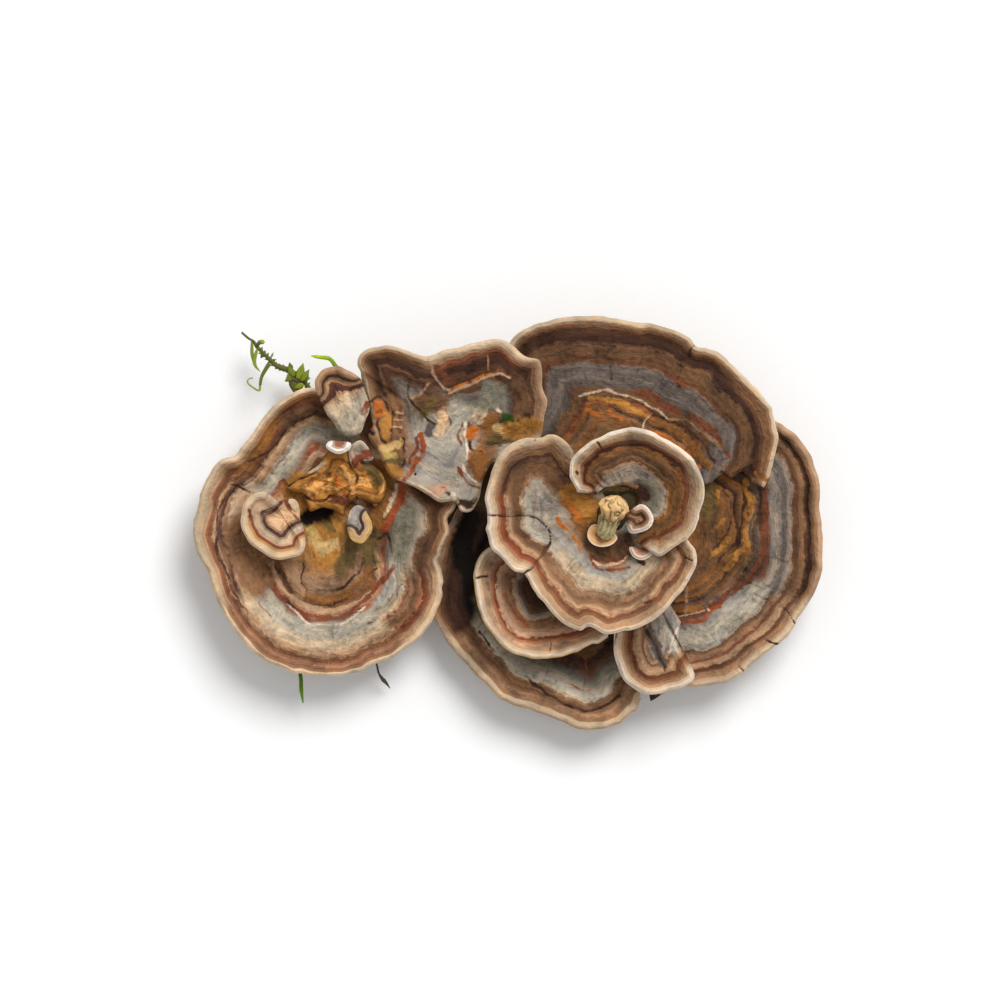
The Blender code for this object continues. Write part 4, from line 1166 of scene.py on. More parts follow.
grow_cap(
    "upper_right_cap",
    rim=[
        (-1.8, 27.6, 13.0), (-1.2, 33.6, 13.4), (1.4, 37.8, 14.0), (4.6, 39.6, 14.6),
        (9.4, 41.0, 15.2), (16.2, 41.6, 15.0), (23.2, 41.0, 15.4), (30.2, 39.6, 15.0),
        (35.8, 37.6, 15.6), (37.8, 35.8, 14.8), (42.2, 34.0, 15.4), (46.6, 30.6, 15.2),
        (50.2, 26.4, 15.6), (52.8, 22.6, 15.4), (54.0, 18.6, 15.8), (53.6, 13.6, 15.6),
        (52.4, 9.2, 15.4), (51.2, 7.0, 15.2),
    ],
    root=stem_arc(150, 50, 12.2),
    chart=UPPER_RIGHT_CHART,
    tuck=1.5,
    sides=[(UPPER_RIGHT_EAST, [(790, 445, 70), (775, 400, 55)])],
    bites=[
        (1.0, 0.0), (0.9, 1.2), (0.83, 4.0), (0.75, 2.1), (0.68, 3.6), (0.6, 1.3), (0.5, 1.0), (0.0, 0.0),
    ],
    marks=[
        ("umber", 3, -0.4, [(699, 343), (691, 351), (689, 359)]),
        ("umber", 2, -0.3, [(680, 364), (679, 376), (676, 384)]),
        ("slate", 2.5, -0.3, [(608, 364), (611, 382)]),
        ("rust", 5, 0.0, [(676, 380), (686, 384)]),
        ("russet", 9, 0.0, [(638, 392), (650, 396), (660, 402), (676, 410)]),
        ("russet", 9, 0.0, [(690, 416), (702, 422), (714, 431)]),
        ("russet", 6, 0.0, [(717, 438), (724, 447), (727, 455)]),
        ("sand", 3, 0.3, [(580, 395), (603, 390), (622, 395), (634, 398), (657, 409), (670, 420)]),
        ("clay", 3, 0.3, [(670, 420), (684, 421), (709, 437), (720, 450), (725, 471)]),
        ("ochre", 6, 0.1, [(590, 398), (612, 402), (630, 408), (645, 414)]),
        ("umber", 2, -0.2, [(590, 405), (612, 409), (630, 415), (643, 421)]),
        ("orange", 5, 0.1, [(588, 411), (610, 414), (628, 420)]),
        ("cream", 2, 0.3, [(651, 411), (647, 419), (644, 427)]),
        ("caramel", 9, 0.1, [(656, 420), (676, 432), (694, 446), (708, 464)]),
        ("orange", 4, 0.1, [(652, 430), (670, 440), (688, 454), (698, 468)]),
        ("umber", 2, -0.2, [(654, 426), (672, 436), (692, 450), (703, 468)]),
        ("umber", 3, -0.3, [(650, 412), (672, 424), (690, 432), (706, 446), (714, 462)]),
        ("slate", 2, -0.2, [(684, 424), (711, 438), (720, 456), (724, 471)]),
        ("umber", 7, -0.3, [(744, 471), (752, 474)]),
        ("caramel", 6, 0.0, [(756, 474), (768, 478)]),
    ],
)

# %% [markdown]
# The one at the right has the richest zones: its chart has as many colours as a colour ramp can hold.
# Ochre and olive marks streak the tissue that it ends in.

# %% The right cap
RIGHT_CHART = (
    "0 tan, 0.8 tan, 1.3 clay, 1.8 hazel, 2.3 umber, 2.9 umber, 3.4 hazel, 4 hazel, 4.5 bark, 5.2 brown,"
    "5.7 bark, 6.3 grey, 6.9 steel, 7.5 slate, 8.2 steel, 9.4 grey, 10.4 steel, 10.9 russet, 11.5 brown,"
    "12.3 umber, 13 bark, 13.6 slate, 14.2 umber, 14.8 caramel, 15.5 caramel, 16.1 bark, 16.8 umber,"
    "17.5 caramel, 18.3 bark, 19.2 caramel, 20.4 bark, 27 caramel"
)
RIGHT_SOUTH = (
    "0 sand, 0.4 sand, 0.8 cream, 1.4 tan, 2.1 clay, 2.8 clay, 3.1 russet, 3.5 brown, 3.9 clay, 4.5 tan,"
    "5 clay, 5.5 russet, 6.3 clay, 6.8 hazel, 7.2 bark, 7.7 grey, 9.1 mist, 10.6 mist, 12.1 ash, 13.1 grey,"
    "13.6 russet, 14.6 russet, 15.1 hazel, 15.6 brown, 16.6 caramel, 17.1 brown, 18.6 clay, 19.6 hazel,"
    "20.6 caramel, 22.1 bark, 27 olive"
)
grow_cap(
    "right_cap",
    rim=[
        (49.6, 24.2, 11.6), (54.2, 20.2, 12.2), (57.8, 17.4, 12.6), (60.6, 13.4, 12.2),
        (62.2, 8.2, 12.6), (62.4, 2.2, 12.2), (63.2, -3.4, 12.6), (63.0, -8.6, 12.2),
        (61.4, -13.8, 12.6), (58.0, -19.8, 12.0), (54.2, -24.4, 12.4), (49.6, -28.2, 12.0),
        (45.2, -31.2, 12.4), (40.2, -33.0, 12.0), (35.8, -33.0, 12.0), (31.8, -34.2, 11.8),
        (28.4, -36.0, 11.4),
    ],
    root=stem_arc(38, -78, 9.4),
    chart=RIGHT_CHART,
    tuck=1.5,
    sides=[(RIGHT_SOUTH, [(770, 655, 62), (715, 680, 68), (660, 700, 50), (800, 630, 32), (745, 620, 42)])],
    marks=[
        ("ochre", 8, 0.1, [(744, 482), (752, 502), (750, 526), (743, 548), (729, 566)]),
        ("umber", 3, -0.2, [(737, 480), (744, 500), (742, 522), (734, 546), (720, 562)]),
        ("umber", 2, -0.2, [(725, 490), (731, 508), (728, 530), (716, 546)]),
        ("ochre", 6, 0.1, [(714, 530), (724, 520)]),
        ("ochre", 7, 0.1, [(712, 556), (722, 548), (728, 540)]),
        ("ochre", 5, 0.1, [(716, 504), (720, 490)]),
        ("olive", 12, -0.1, [(706, 476), (712, 500), (708, 514)]),
        ("black", 3, -0.2, [(814, 556)]),
        ("umber", 2, -0.3, [(798, 623), (789, 614), (779, 607)]),
        ("umber", 2, -0.3, [(766, 639), (773, 642), (779, 646)]),
        ("umber", 2, -0.3, [(739, 664), (743, 669)]),
        ("slate", 3, -0.2, [(746, 471), (758, 490), (753, 520), (751, 540), (758, 546), (751, 559),
                            (736, 578), (719, 593), (703, 606)]),
        ("russet", 6, 0.1, [(764, 490), (766, 510), (764, 533), (761, 556), (749, 578), (733, 593),
                            (719, 602)]),
        ("sienna", 6, 0.1, [(650, 626), (670, 619), (690, 622), (703, 621), (709, 611), (719, 607)]),
        ("bone", 4, 0.2, [(707, 609)]),
        ("tan", 2, 0.2, [(656, 616), (678, 616), (703, 609)]),
        ("slate", 2, -0.2, [(686, 602), (706, 596), (719, 583)]),
        ("clay", 4, 0.2, [(686, 588), (686, 611)]),
        ("umber", 22, -0.2, [(640, 698), (656, 702)]),
    ],
)

# %% [markdown]
# The one at the bottom is pale at its rim. Inwards under the second cap, and at the gap between the
# rosettes, its colours are painted shade that darkens to nearly black.

# %% The lower cap
# Beyond about 10 millimetres the zones darken to umber: painted shade under the second cap.
LOWER_CHART = (
    "0 tan, 0.6 sand, 1.2 sand, 1.6 clay, 2.1 hazel, 2.6 clay, 3.1 clay, 3.6 hazel, 4.1 bark, 4.6 hazel,"
    "5.1 bark, 5.6 clay, 6.1 mist, 6.7 mist, 8 grey, 9.1 sage, 10.1 slate, 11 brown, 12.6 umber, 13.2 umber,"
    "14.1 bark, 18 brown, 26 umber"
)
# Painted shade at the gap between the rosettes: brown, umber and black inside its discs.
LOWER_WEST_SHADED = (
    "0 sand, 0.5 grey, 1.1 clay, 1.6 hazel, 2.1 brown, 2.6 brown, 3.2 umber, 6 umber, 7 black, 20 black"
)
grow_cap(
    "lower_cap",
    rim=[
        (26.4, -35.4, 9.4), (25.0, -38.2, 9.8), (21.8, -40.4, 9.6), (18.2, -41.4, 9.8),
        (15.0, -41.6, 9.6), (12.2, -40.8, 9.8), (8.8, -39.2, 9.4), (4.2, -37.6, 9.8),
        (-1.4, -35.8, 9.4), (-4.6, -33.0, 9.6), (-8.6, -28.4, 9.2), (-13.0, -23.8, 9.4),
        (-15.2, -19.4, 9.0), (-16.2, -14.8, 8.6), (-15.8, -9.8, 8.4), (-14.4, -5.0, 8.2),
        (-12.8, -1.0, 8.2), (-10.6, 2.8, 8.2),
    ],
    root=stem_arc(-86, -182, 7.4),
    chart=LOWER_CHART,
    tuck=1.5,
    sides=[(LOWER_WEST_SHADED, [(445, 580, 38), (450, 530, 50), (452, 610, 26)])],
    marks=[
        ("umber", 2.5, -0.2, [(480, 631), (487, 641), (494, 651)]),
        ("rust", 2, 0.0, [(573, 686), (581, 690), (592, 690)]),
        ("rust", 2, 0.0, [(585, 658), (588, 672)]),
        ("umber", 3, -0.1, [(526, 676), (540, 689), (561, 703), (585, 710), (602, 707), (619, 696)]),
        # Painted shade: the lower cap is painted nearly black in the gap between the rosettes.
        ("black", 22, -0.5, [(470, 520), (462, 545), (470, 575)]),
    ],
)

# %% [markdown]
# Two smaller and thinner caps lie over these. The second one covers a seam, and its right side is bare.

# %% The second layer
SECOND_CHART = (
    "0 butter, 0.4 bone, 1 cream, 1.6 tan, 2.6 tan, 3.1 terracotta, 3.6 rust, 4.1 tan, 4.7 pink, 5.2 clay,"
    "5.7 clay, 6.1 hazel, 6.7 hazel, 7.1 bark, 7.6 clay, 8.2 grey, 8.6 slate, 9.2 brown, 10 umber, 20 umber"
)
grow_cap(
    "second_cap",
    rim=[
        (19.8, -23.0, 16.2), (17.2, -24.4, 16.6), (13.2, -26.0, 16.4), (8.2, -27.2, 16.8),
        (3.2, -27.0, 16.4), (-0.8, -25.2, 16.8), (-4.2, -21.4, 16.4), (-6.4, -17.2, 16.8),
        (-7.4, -12.6, 16.6), (-6.8, -8.2, 16.8), (-5.4, -5.8, 16.6), (-4.0, -4.8, 16.2),
    ],
    root=stem_arc(-98, -170, 13.4),
    chart=SECOND_CHART,
    thickness=1.5,
    tuck=1.5,
    marks=[
        ("umber", 2.5, -0.2, [(475, 577), (487, 578)]),
        ("umber", 2.5, -0.2, [(550, 641), (550, 651)]),
        ("rust", 5, 0.0, [(506, 596), (516, 614), (530, 627)]),
    ],
)
SMALL_LOWER_CHART = (
    "0 bone, 0.6 bone, 1.1 cream, 1.6 tan, 2.1 clay, 2.6 hazel, 3.1 rust, 3.6 bark, 4.1 clay, 5.1 tan,"
    "5.6 hazel, 6.1 bark, 6.6 clay, 7 bark, 7.5 grey, 8.2 ash, 9 grey, 10.2 ash, 13.1 grey, 14.6 grey"
)
grow_cap(
    "small_lower_cap",
    rim=[
        (34.4, -19.8, 15.4), (34.0, -22.6, 15.2), (34.6, -25.0, 15.0), (36.0, -27.6, 14.8),
        (37.2, -31.0, 14.6), (35.0, -32.8, 14.8), (31.2, -34.0, 14.6), (27.8, -34.4, 14.8),
        (25.4, -33.6, 14.6), (23.0, -31.6, 14.8), (21.4, -28.2, 14.6), (20.9, -25.4, 15.0),
        (21.3, -22.6, 15.2),
    ],
    root=stem_arc(-55, -82, 13.8),
    chart=SMALL_LOWER_CHART,
    thickness=1.1,
    tuck=1.5,
    bare=[(690, 640, 30)],
    drift=0.5,
    marks=[
        ("mist", 14, 0.1, [(668, 634), (674, 646)]),
        # Painted highlight: a pale line where the right edge curls up.
        ("bone", 3, 0.1, [(678, 627), (674, 640), (671, 651)]),
        # Painted shadow: a slate band where the rose cap's edge shades this cap.
        ("slate", 10, -0.3, [(650, 630), (656, 648), (662, 664)]),
        ("umber", 3, -0.3, [(648, 629), (657, 651), (664, 672)]),
    ],
)

# %% [markdown]
# ## The rose
# The two top caps wrap round a ribbed stub. The first runs round it for about two thirds of a turn.

# %% The rose cap
ROSE_CHART = (
    "0 bone, 0.6 bone, 1.1 cream, 1.6 sand, 2.1 tan, 2.6 terracotta, 3.1 rust, 3.7 rust, 4.1 clay, 4.6 tan,"
    "5.1 clay, 5.6 bark, 6.6 bark, 7.1 clay, 7.6 mist, 8.6 mist, 9.1 grey, 10.1 ash, 11 grey, 12.1 mist,"
    "13.1 clay, 13.7 tan, 14.6 bark, 15.1 russet, 18 caramel"
)
ROSE_NORTH = (
    "0 cream, 0.6 sand, 1.2 sand, 1.6 tan, 2.1 clay, 2.6 hazel, 3.1 bark, 3.6 umber, 4.1 brown, 4.6 bark,"
    "6.9 bark, 7.6 hazel, 8.3 grey, 9.1 grey, 10.5 mist, 12.6 clay, 13.6 bark, 14.6 brown, 18 brown"
)
ROSE_SOUTH = (
    "0 bone, 0.6 cream, 1 tan, 1.9 tan, 2.4 hazel, 2.9 rust, 3.4 clay, 3.9 tan, 4.4 tan, 4.9 hazel,"
    "5.4 hazel, 6.4 clay, 6.9 clay, 7.5 sand, 9.5 sand, 10 mist, 11 ash, 12 grey, 12.5 clay, 13.6 clay,"
    "14.6 bark, 18 caramel"
)
grow_cap(
    "rose_cap",
    rim=[
        (33.4, -0.2, 21.4), (36.2, -3.6, 23.2), (37.6, -7.0, 23.6), (36.2, -11.2, 23.4),
        (32.6, -16.0, 23.6), (27.8, -20.2, 23.2), (22.2, -22.0, 23.6), (19.0, -22.6, 23.4),
        (15.8, -20.8, 22.8), (14.0, -21.6, 23.2), (10.2, -19.8, 23.6), (6.4, -16.0, 23.4),
        (3.2, -10.8, 22.8), (0.4, -9.8, 23.4), (-1.8, -7.4, 23.4), (-3.8, -4.8, 23.2),
        (-4.6, -1.8, 23.6), (-4.8, 1.2, 22.8), (-5.0, 5.0, 23.6), (-4.2, 9.6, 23.8),
        (-2.0, 14.0, 23.6), (1.4, 16.6, 23.2), (5.8, 17.4, 22.8), (9.2, 17.6, 23.4),
        (11.8, 15.8, 23.0), (13.6, 13.0, 22.2),
    ],
    root=stem_arc(-15, -250, 18.0, gap=3.9),
    chart=ROSE_CHART,
    bowl=1.4,
    tuck=1.0,
    sides=[
        (ROSE_NORTH, [(510, 458, 40), (550, 450, 50)]),
        (ROSE_SOUTH, [(600, 620, 80), (680, 570, 50)]),
    ],
    marks=[
        ("umber", 1.6, -0.5, [(484, 516), (511, 517), (523, 516), (540, 520), (548, 528), (550, 538),
                              (547, 548)]),
        ("brown", 3, -0.3, [(547, 548), (535, 562), (524, 573)]),
        ("caramel", 32, 0.1, [(576, 500), (586, 512), (594, 530)]),
        ("ochre", 24, 0.2, [(574, 496), (582, 504), (586, 514)]),
        ("orange", 6, 0.3, [(568, 500), (572, 512), (580, 522)]),
        ("brown", 9, -0.5, [(568, 506), (574, 516), (584, 526)]),
        ("orange", 5, 0.3, [(557, 518), (566, 527), (574, 540), (582, 550)]),
        ("bark", 28, 0.1, [(598, 540), (608, 550), (620, 548)]),
        ("russet", 5, 0.2, [(590, 556), (606, 560), (622, 558)]),
        ("brown", 6, -0.3, [(628, 536), (630, 552), (642, 562)]),
        ("rust", 3, 0.3, [(588, 556), (597, 567), (613, 568), (629, 568)]),
        ("peach", 2.5, 0.3, [(592, 560), (604, 564), (618, 562), (626, 556)]),
        ("rust", 3, 0.0, [(633, 584)]),
        ("umber", 2, -0.3, [(685, 557), (692, 560)]),
        ("black", 3, -0.2, [(516, 441)]),
        ("black", 3, -0.2, [(535, 439)]),
    ],
)

# %% [markdown]
# The second overlaps it. Its root is a curve of its own, which curls round the upper right of the stub.

# %% The upper rose cap
UPPER_ROSE_CHART = (
    "0 bone, 0.7 bone, 1.1 sand, 1.6 tan, 2.1 tan, 2.5 russet, 3.1 umber, 3.7 caramel, 4.3 hazel,"
    "4.9 bark, 5.5 bark, 6.1 hazel, 6.6 bark, 7.2 clay, 7.7 grey, 8.7 grey, 9.5 sage, 10.5 slate,"
    "11.4 slate, 12 brown, 13 umber, 16 umber"
)
UPPER_ROSE_EAST = (
    "0 bone, 0.5 sand, 1.1 sand, 1.6 tan, 2.1 tan, 2.6 clay, 3.1 russet, 3.7 russet, 4.1 caramel, 5.3 bark,"
    "6.1 caramel, 6.6 caramel, 7.1 clay, 7.6 mist, 8.1 grey, 9.1 sage, 10 sage, 11.1 brown, 16 umber"
)
grow_cap(
    "upper_rose_cap",
    rim=[
        (15.2, 6.0, 22.4), (13.2, 6.4, 24.6), (12.0, 9.0, 26.2), (12.2, 12.4, 26.8),
        (14.2, 15.0, 27.0), (18.4, 17.6, 27.4), (22.2, 18.8, 27.2), (25.8, 19.2, 27.6),
        (30.6, 17.4, 27.4), (35.2, 14.8, 27.6), (38.0, 10.6, 27.2), (39.2, 6.2, 27.4),
        (38.4, 2.0, 26.8), (36.2, -2.6, 26.2), (33.2, -5.2, 25.4), (30.4, -7.0, 24.6),
        (28.6, -6.0, 23.4),
    ],
    root=[
        (17.4, 5.8, 21.4), (19.6, 7.2, 21.2), (24.4, 6.8, 21.0),
        (26.4, 3.8, 21.0), (26.0, -0.4, 21.0), (25.4, -3.8, 21.2),
    ],
    chart=UPPER_ROSE_CHART,
    thickness=1.5,
    bowl=1.3,
    step=0.25,
    widen=[(598, 490, 26, 1.8)],
    sides=[(UPPER_ROSE_EAST, [(700, 520, 55)])],
    marks=[
        ("umber", 12, -0.4, [(606, 500), (626, 490), (644, 496)]),
        ("grey", 14, 0.0, [(602, 488), (614, 478), (632, 474)]),
        ("hazel", 4, 0.3, [(612, 488), (622, 484), (634, 488)]),
        ("umber", 4, -0.2, [(575, 474)]),
        ("gold", 4, 0.1, [(572, 468)]),
        ("umber", 3, -0.2, [(597, 444), (602, 452)]),
        ("bone", 4, 0.1, [(706, 500), (709, 508)]),
    ],
)

# %% [markdown]
# Three tiny caps sit beside the stub: an amber one below it, a cup at its right, and one that shows
# only a pink and white rim.

# %% The tiny caps of the rose
AMBER_CHART = "0 bone, 0.3 peach, 0.7 amber, 1.3 peach, 1.7 amber, 2.2 orange"
grow_cap(
    "amber_lip",
    rim=[
        (17.0, -0.2, 20.4), (19.4, -0.8, 20.0), (21.2, -2.2, 20.4), (21.6, -3.2, 21.0),
        (20.4, -4.4, 21.6), (18.4, -4.8, 21.8), (16.6, -4.2, 21.6), (15.6, -2.8, 21.4),
        (15.8, -1.2, 20.8),
    ],
    root=(18.8, -2.4, 20.0),
    chart=AMBER_CHART,
    slot="ochre_tissue",
    thickness=0.7,
    step=0.15,
    nicks=0.1,
)
CUP_CHART = "0 white, 0.5 bone, 1 tan, 1.4 bark, 1.9 brown, 2.4 clay, 3 ash, 5 ash"
grow_cap(
    "cup_lip",
    rim=[
        (23.6, 2.0, 22.8), (25.0, 3.2, 23.2), (26.4, 3.8, 23.8), (27.8, 3.0, 24.2),
        (28.8, 1.0, 24.4), (28.2, -0.8, 24.2), (26.4, -1.8, 23.8), (24.2, -2.0, 23.4),
        (23.4, -0.2, 22.8),
    ],
    root=(25.6, 0.8, 22.8),
    chart=CUP_CHART,
    slot="pale_cap",
    thickness=0.7,
    step=0.15,
    nicks=0.1,
    bare=[(624, 514, 14)],
    drift=0.2,
    ragged=0.3,
    contrast=0.5,
)
PINK_CHART = "0 white, 0.5 bone, 1 pink, 1.6 terracotta, 3 clay"
grow_cap(
    "pink_lip",
    rim=[
        (24.0, -4.8, 20.4), (26.2, -5.0, 20.2), (28.6, -5.2, 20.4), (28.4, -6.6, 21.0),
        (26.4, -7.4, 21.2), (24.6, -6.6, 21.0),
    ],
    root=(26.4, -6.0, 20.5),
    chart=PINK_CHART,
    slot="pale_cap",
    thickness=0.6,
    step=0.13,
    nicks=0.1,
    bare=[(641, 544, 13)],
    drift=0.2,
    ragged=0.3,
    contrast=0.4,
)

# %% [markdown]
# ## Stub, moss, grass and rootlet
# These are tubes and leaves along paths. Each tube has a tone, from 0 for dry and brown to 1 for
# fresh and bright, which its material turns into a colour.

# %% Tubes and leaves
PLANT_SHEEN = 0.2
PLANT_BUMP = 0.0001  # metres


def tube(path, radii, tone, sides=8, flat=1.0):
    """A closed tube: its points, its faces and the tone of each point."""
    path = np.asarray(path, float)
    ahead = np.gradient(path, axis=0)
    ahead /= np.linalg.norm(ahead, axis=1, keepdims=True)
    side = np.cross(ahead, (0, 0, 1)) + (1e-6, 0, 0)
    side /= np.linalg.norm(side, axis=1, keepdims=True)
    upward = np.cross(side, ahead)
    turn = np.linspace(0, 2 * math.pi, sides, endpoint=False)
    radii = np.asarray(radii, float).reshape(len(path), -1)
    ring = side[:, None] * np.cos(turn)[:, None] + flat * upward[:, None] * np.sin(turn)[:, None]
    points = path[:, None] + ring * radii[..., None]
    numbers = np.arange(len(path) * sides).reshape(len(path), sides)
    numbers = np.hstack([numbers, numbers[:, :1]])
    faces = []
    for low, high in zip(numbers, numbers[1:]):
        faces += np.stack([low[:-1], low[1:], high[1:], high[:-1]], axis=1).tolist()
    faces.append(numbers[0, -2::-1].tolist())
    faces.append(numbers[-1, :-1].tolist())
    tones = np.broadcast_to(np.atleast_2d(np.asarray(tone, float).T).T, (len(path), sides)).ravel()
    return points.reshape(-1, 3), faces, tones


def leaf(start, tip, width, tone, thick=0.25, bend=0.0):
    """A pointed leaf from its foot to its tip."""
    way = np.linspace(0, 1, 8)[:, None]
    path = np.array(start) + (np.array(tip) - np.array(start)) * way
    path[:, 2] += bend * np.sin(math.pi * way[:, 0])
    wide = width / 2 * np.sin(math.pi * (0.06 + 0.92 * way[:, 0]) ** 0.75)
    return tube(path, wide, tone, sides=6, flat=thick)


def join_tubes(name, tubes, node):
    """One object from many tubes, with their tones."""
    points, faces, tones = [], [], []
    for some_points, some_faces, some_tones in tubes:
        first = sum(len(group) for group in points)
        points.append(some_points)
        faces += [[first + corner for corner in face] for face in some_faces]
        tones.append(some_tones)
    body = add_object(name, np.concatenate(points), faces, node)
    set_values(body.data, "tone", np.concatenate(tones))
    return body


def at_height(pixels, height):
    """Pixels of the photograph as places at one height, or at a height for each."""
    flat = from_photo(pixels)
    return np.column_stack([flat, np.broadcast_to(height, len(flat))])


def plant_finish(name, stops, rough=0.55, grain=6000.0):
    """A material that turns the tone into a colour and speckles it."""
    material, tree, shader = new_material(name)
    place = make(tree, "TexCoord").outputs["Object"]
    speckle = make(tree, "TexNoise", [("Vector", place), ("Scale", grain), ("Detail", 3.0)]).outputs["Fac"]
    shift = math_node(tree, "MULTIPLY", math_node(tree, "SUBTRACT", speckle, 0.5), 0.5)
    ramp = make(tree, "ValToRGB", [("Fac", math_node(tree, "ADD", attribute(tree, "tone"), shift))])
    fill_ramp(ramp, stops)
    tree.links.new(ramp.outputs[0], shader.inputs["Base Color"])
    shader.inputs["Roughness"].default_value = rough
    shader.inputs["Specular IOR Level"].default_value = PLANT_SHEEN
    bump = make(tree, "Bump", [("Strength", 0.4), ("Distance", PLANT_BUMP), ("Height", speckle)])
    tree.links.new(bump.outputs[0], shader.inputs["Normal"])
    return material


# %% [markdown]
# The moss sprig runs out from under the left cap. Its paths are read from the photograph, and small
# pointed leaves stand all along it. A few larger leaves and curls have places of their own.

# %% The moss
MOSS_STEM = [(306, 384), (299, 379), (293, 373), (286, 369), (277, 366), (271, 361), (266, 356),
             (261, 351), (256, 346), (253, 341), (248, 338), (241, 332)]
MOSS_HIDDEN = [(-36.2, 12.0, 3.6), (-38.2, 21.0, 5.2), (-40.0, 26.0, 6.2)]
STEM_POINTS = 90
SPINDLE = np.sin(np.linspace(0.5, 3.1, 12))  # radii that are largest in the middle
MOSS_CURLS = [  # the pixels of each curl, its height, its radii, its tone and its flatness
    ([(251.5, 339), (251.5, 354), (253.6, 364), (255, 367)], 7.2, 0.34 * SPINDLE, 0.65, 0.4),
    ([(257, 348), (254, 358), (254.6, 365), (260, 372)], 7.4, 0.4 * SPINDLE, 0.7, 0.4),
    ([(269, 363), (264.5, 370), (261, 377), (259.6, 384.6)], 7.3, np.linspace(0.45, 0.28, 12), 0.45, 0.6),
    ([(259.6, 384), (258.2, 390.3), (248.3, 384), (247, 380.4), (249, 378.3), (252.5, 377.6)], 7.2,
     np.linspace(0.24, 0.12, 24), 0.75, 0.6),
]
MOSS_LEAVES = [  # the pixels of the foot and of the tip, the height, the width, the tone, and any flatness
    ((270.8, 357), (273, 351.8), 7.4, 0.4, 0.6),
    ((270, 361), (276, 359), 7.4, 0.6, 0.4),
    ((264, 352), (260, 358), 7.3, 0.9, 0.25),
    ((291, 370), (289, 362), 7.4, 1.0, 0.45),
    ((301, 376), (302.6, 362.5), 7.6, 1.0, 0.65),
    ((291, 371), (285, 380), 7.4, 0.7, 0.6),
    ((304, 382), (308.5, 375), 7.4, 0.8, 0.45),
    ((292, 376), (297, 396), 7.0, 2.2, 0.3, 0.35),
    ((297, 379), (303, 363), 7.5, 1.5, 0.7),
    ((301, 381), (309, 369), 7.6, 1.3, 0.6),
    ((294, 376), (287, 366), 7.5, 1.4, 0.55),
    ((298, 378), (310, 378), 7.4, 1.5, 0.6),
    ((293, 377), (284, 381), 7.4, 1.2, 0.5),
    ((303, 384), (294, 388), 7.4, 1.4, 0.65),
    ((290, 377), (301, 383), 7.5, 0.5, 0.05),
]


def moss_leaves(path, spacing, length, width, tone, seed):
    """Small leaves in turn on the two sides of a stem, and some on top of it."""
    run = np.append(0, np.cumsum(np.linalg.norm(np.diff(path, axis=0), axis=1)))
    leaves = []
    for number, at in enumerate(np.arange(0.3, run[-1] - 0.2, spacing)):
        start = np.array([np.interp(at, run, path[:, axis]) for axis in range(3)])
        before = np.array([np.interp(at - 0.3, run, path[:, axis]) for axis in range(3)])
        ahead = (start - before) / max(np.linalg.norm(start - before), 1e-6)
        chance = noise(np.array([[at * 7.1, seed * 3.3, 0.5]]), 1.0, seed)[0]
        side = np.cross(ahead, (0, 0, 1)) * (1 if number % 2 else -1)
        out = side * (0.5 + chance) + ahead * (0.3 + 0.8 * chance) + np.array([0, 0, 0.5 * (chance - 0.3)])
        out /= np.linalg.norm(out)
        tip = start + out * length * (0.6 + 0.8 * chance)
        leaves.append(leaf(start, tip, width, tone + 0.4 * (chance - 0.5), bend=0.1))
    return leaves


stem = np.vstack([MOSS_HIDDEN, at_height(MOSS_STEM, np.linspace(6.7, 7.4, len(MOSS_STEM)))])
stem = smooth_curve(stem, STEM_POINTS)
knots = 0.3 + 0.22 * noise(stem, 1.4, 3)
sprig = [tube(stem, knots * np.interp(np.arange(STEM_POINTS), [0, 60, 89], [1.2, 1.1, 0.55]), 0.3)]
sprig += moss_leaves(stem[28:76], 0.42, 0.9, 0.5, 0.5, 1)
sprig += moss_leaves(stem[24:62], 0.5, 0.7, 0.45, 0.35, 2)
for pixels, height, radii, tone, flatness in MOSS_CURLS:
    sprig.append(tube(smooth_curve(at_height(pixels, height), len(radii)), radii, tone, flat=flatness))
for foot, tip, height, width, tone, *flatness in MOSS_LEAVES:
    sprig.append(leaf(*at_height([foot, tip], height), width, tone, *flatness))
sprig.append(tube(at_height([(256, 346), (259, 342), (262, 341.6), (264, 341)], 7.5),
                  [0.3, 0.45, 0.5, 0.3], [0.3, 0.4, 0.8, 0.85], flat=0.8))
moss = join_tubes("moss_fine", sprig, "moss_sprig")
moss.data.materials.append(
    plant_finish("moss_green", [
        (0.0, (0.10, 0.075, 0.05, 1)),
        (0.25, (0.10, 0.085, 0.02, 1)),
        (0.5, (0.13, 0.16, 0.012, 1)),
        (0.75, (0.24, 0.30, 0.02, 1)),
        (1.0, (0.46, 0.50, 0.10, 1)),
    ])
)

# %% [markdown]
# Two blades of grass and a rootlet come out from under the left cap too. Each starts at the base, out
# of sight.

# %% Grass and rootlet
GRASS_STOPS = [(0.0, (0.06, 0.12, 0.005, 1)), (0.4, (0.10, 0.22, 0.004, 1)), (1.0, (0.42, 0.60, 0.004, 1))]


def strand(node, hidden, seen, count, radii, tones, flatness):
    """A long leaf or root. Its radii and its tones are pairs of a point's number and the value there."""
    path = smooth_curve(np.vstack([hidden, seen]), count)
    numbers = np.arange(count)
    radius = np.interp(numbers, *zip(*radii))
    tone = np.interp(numbers, *zip(*tones))
    return join_tubes(f"{node}_fine", [tube(path, radius, tone, flat=flatness)], node)


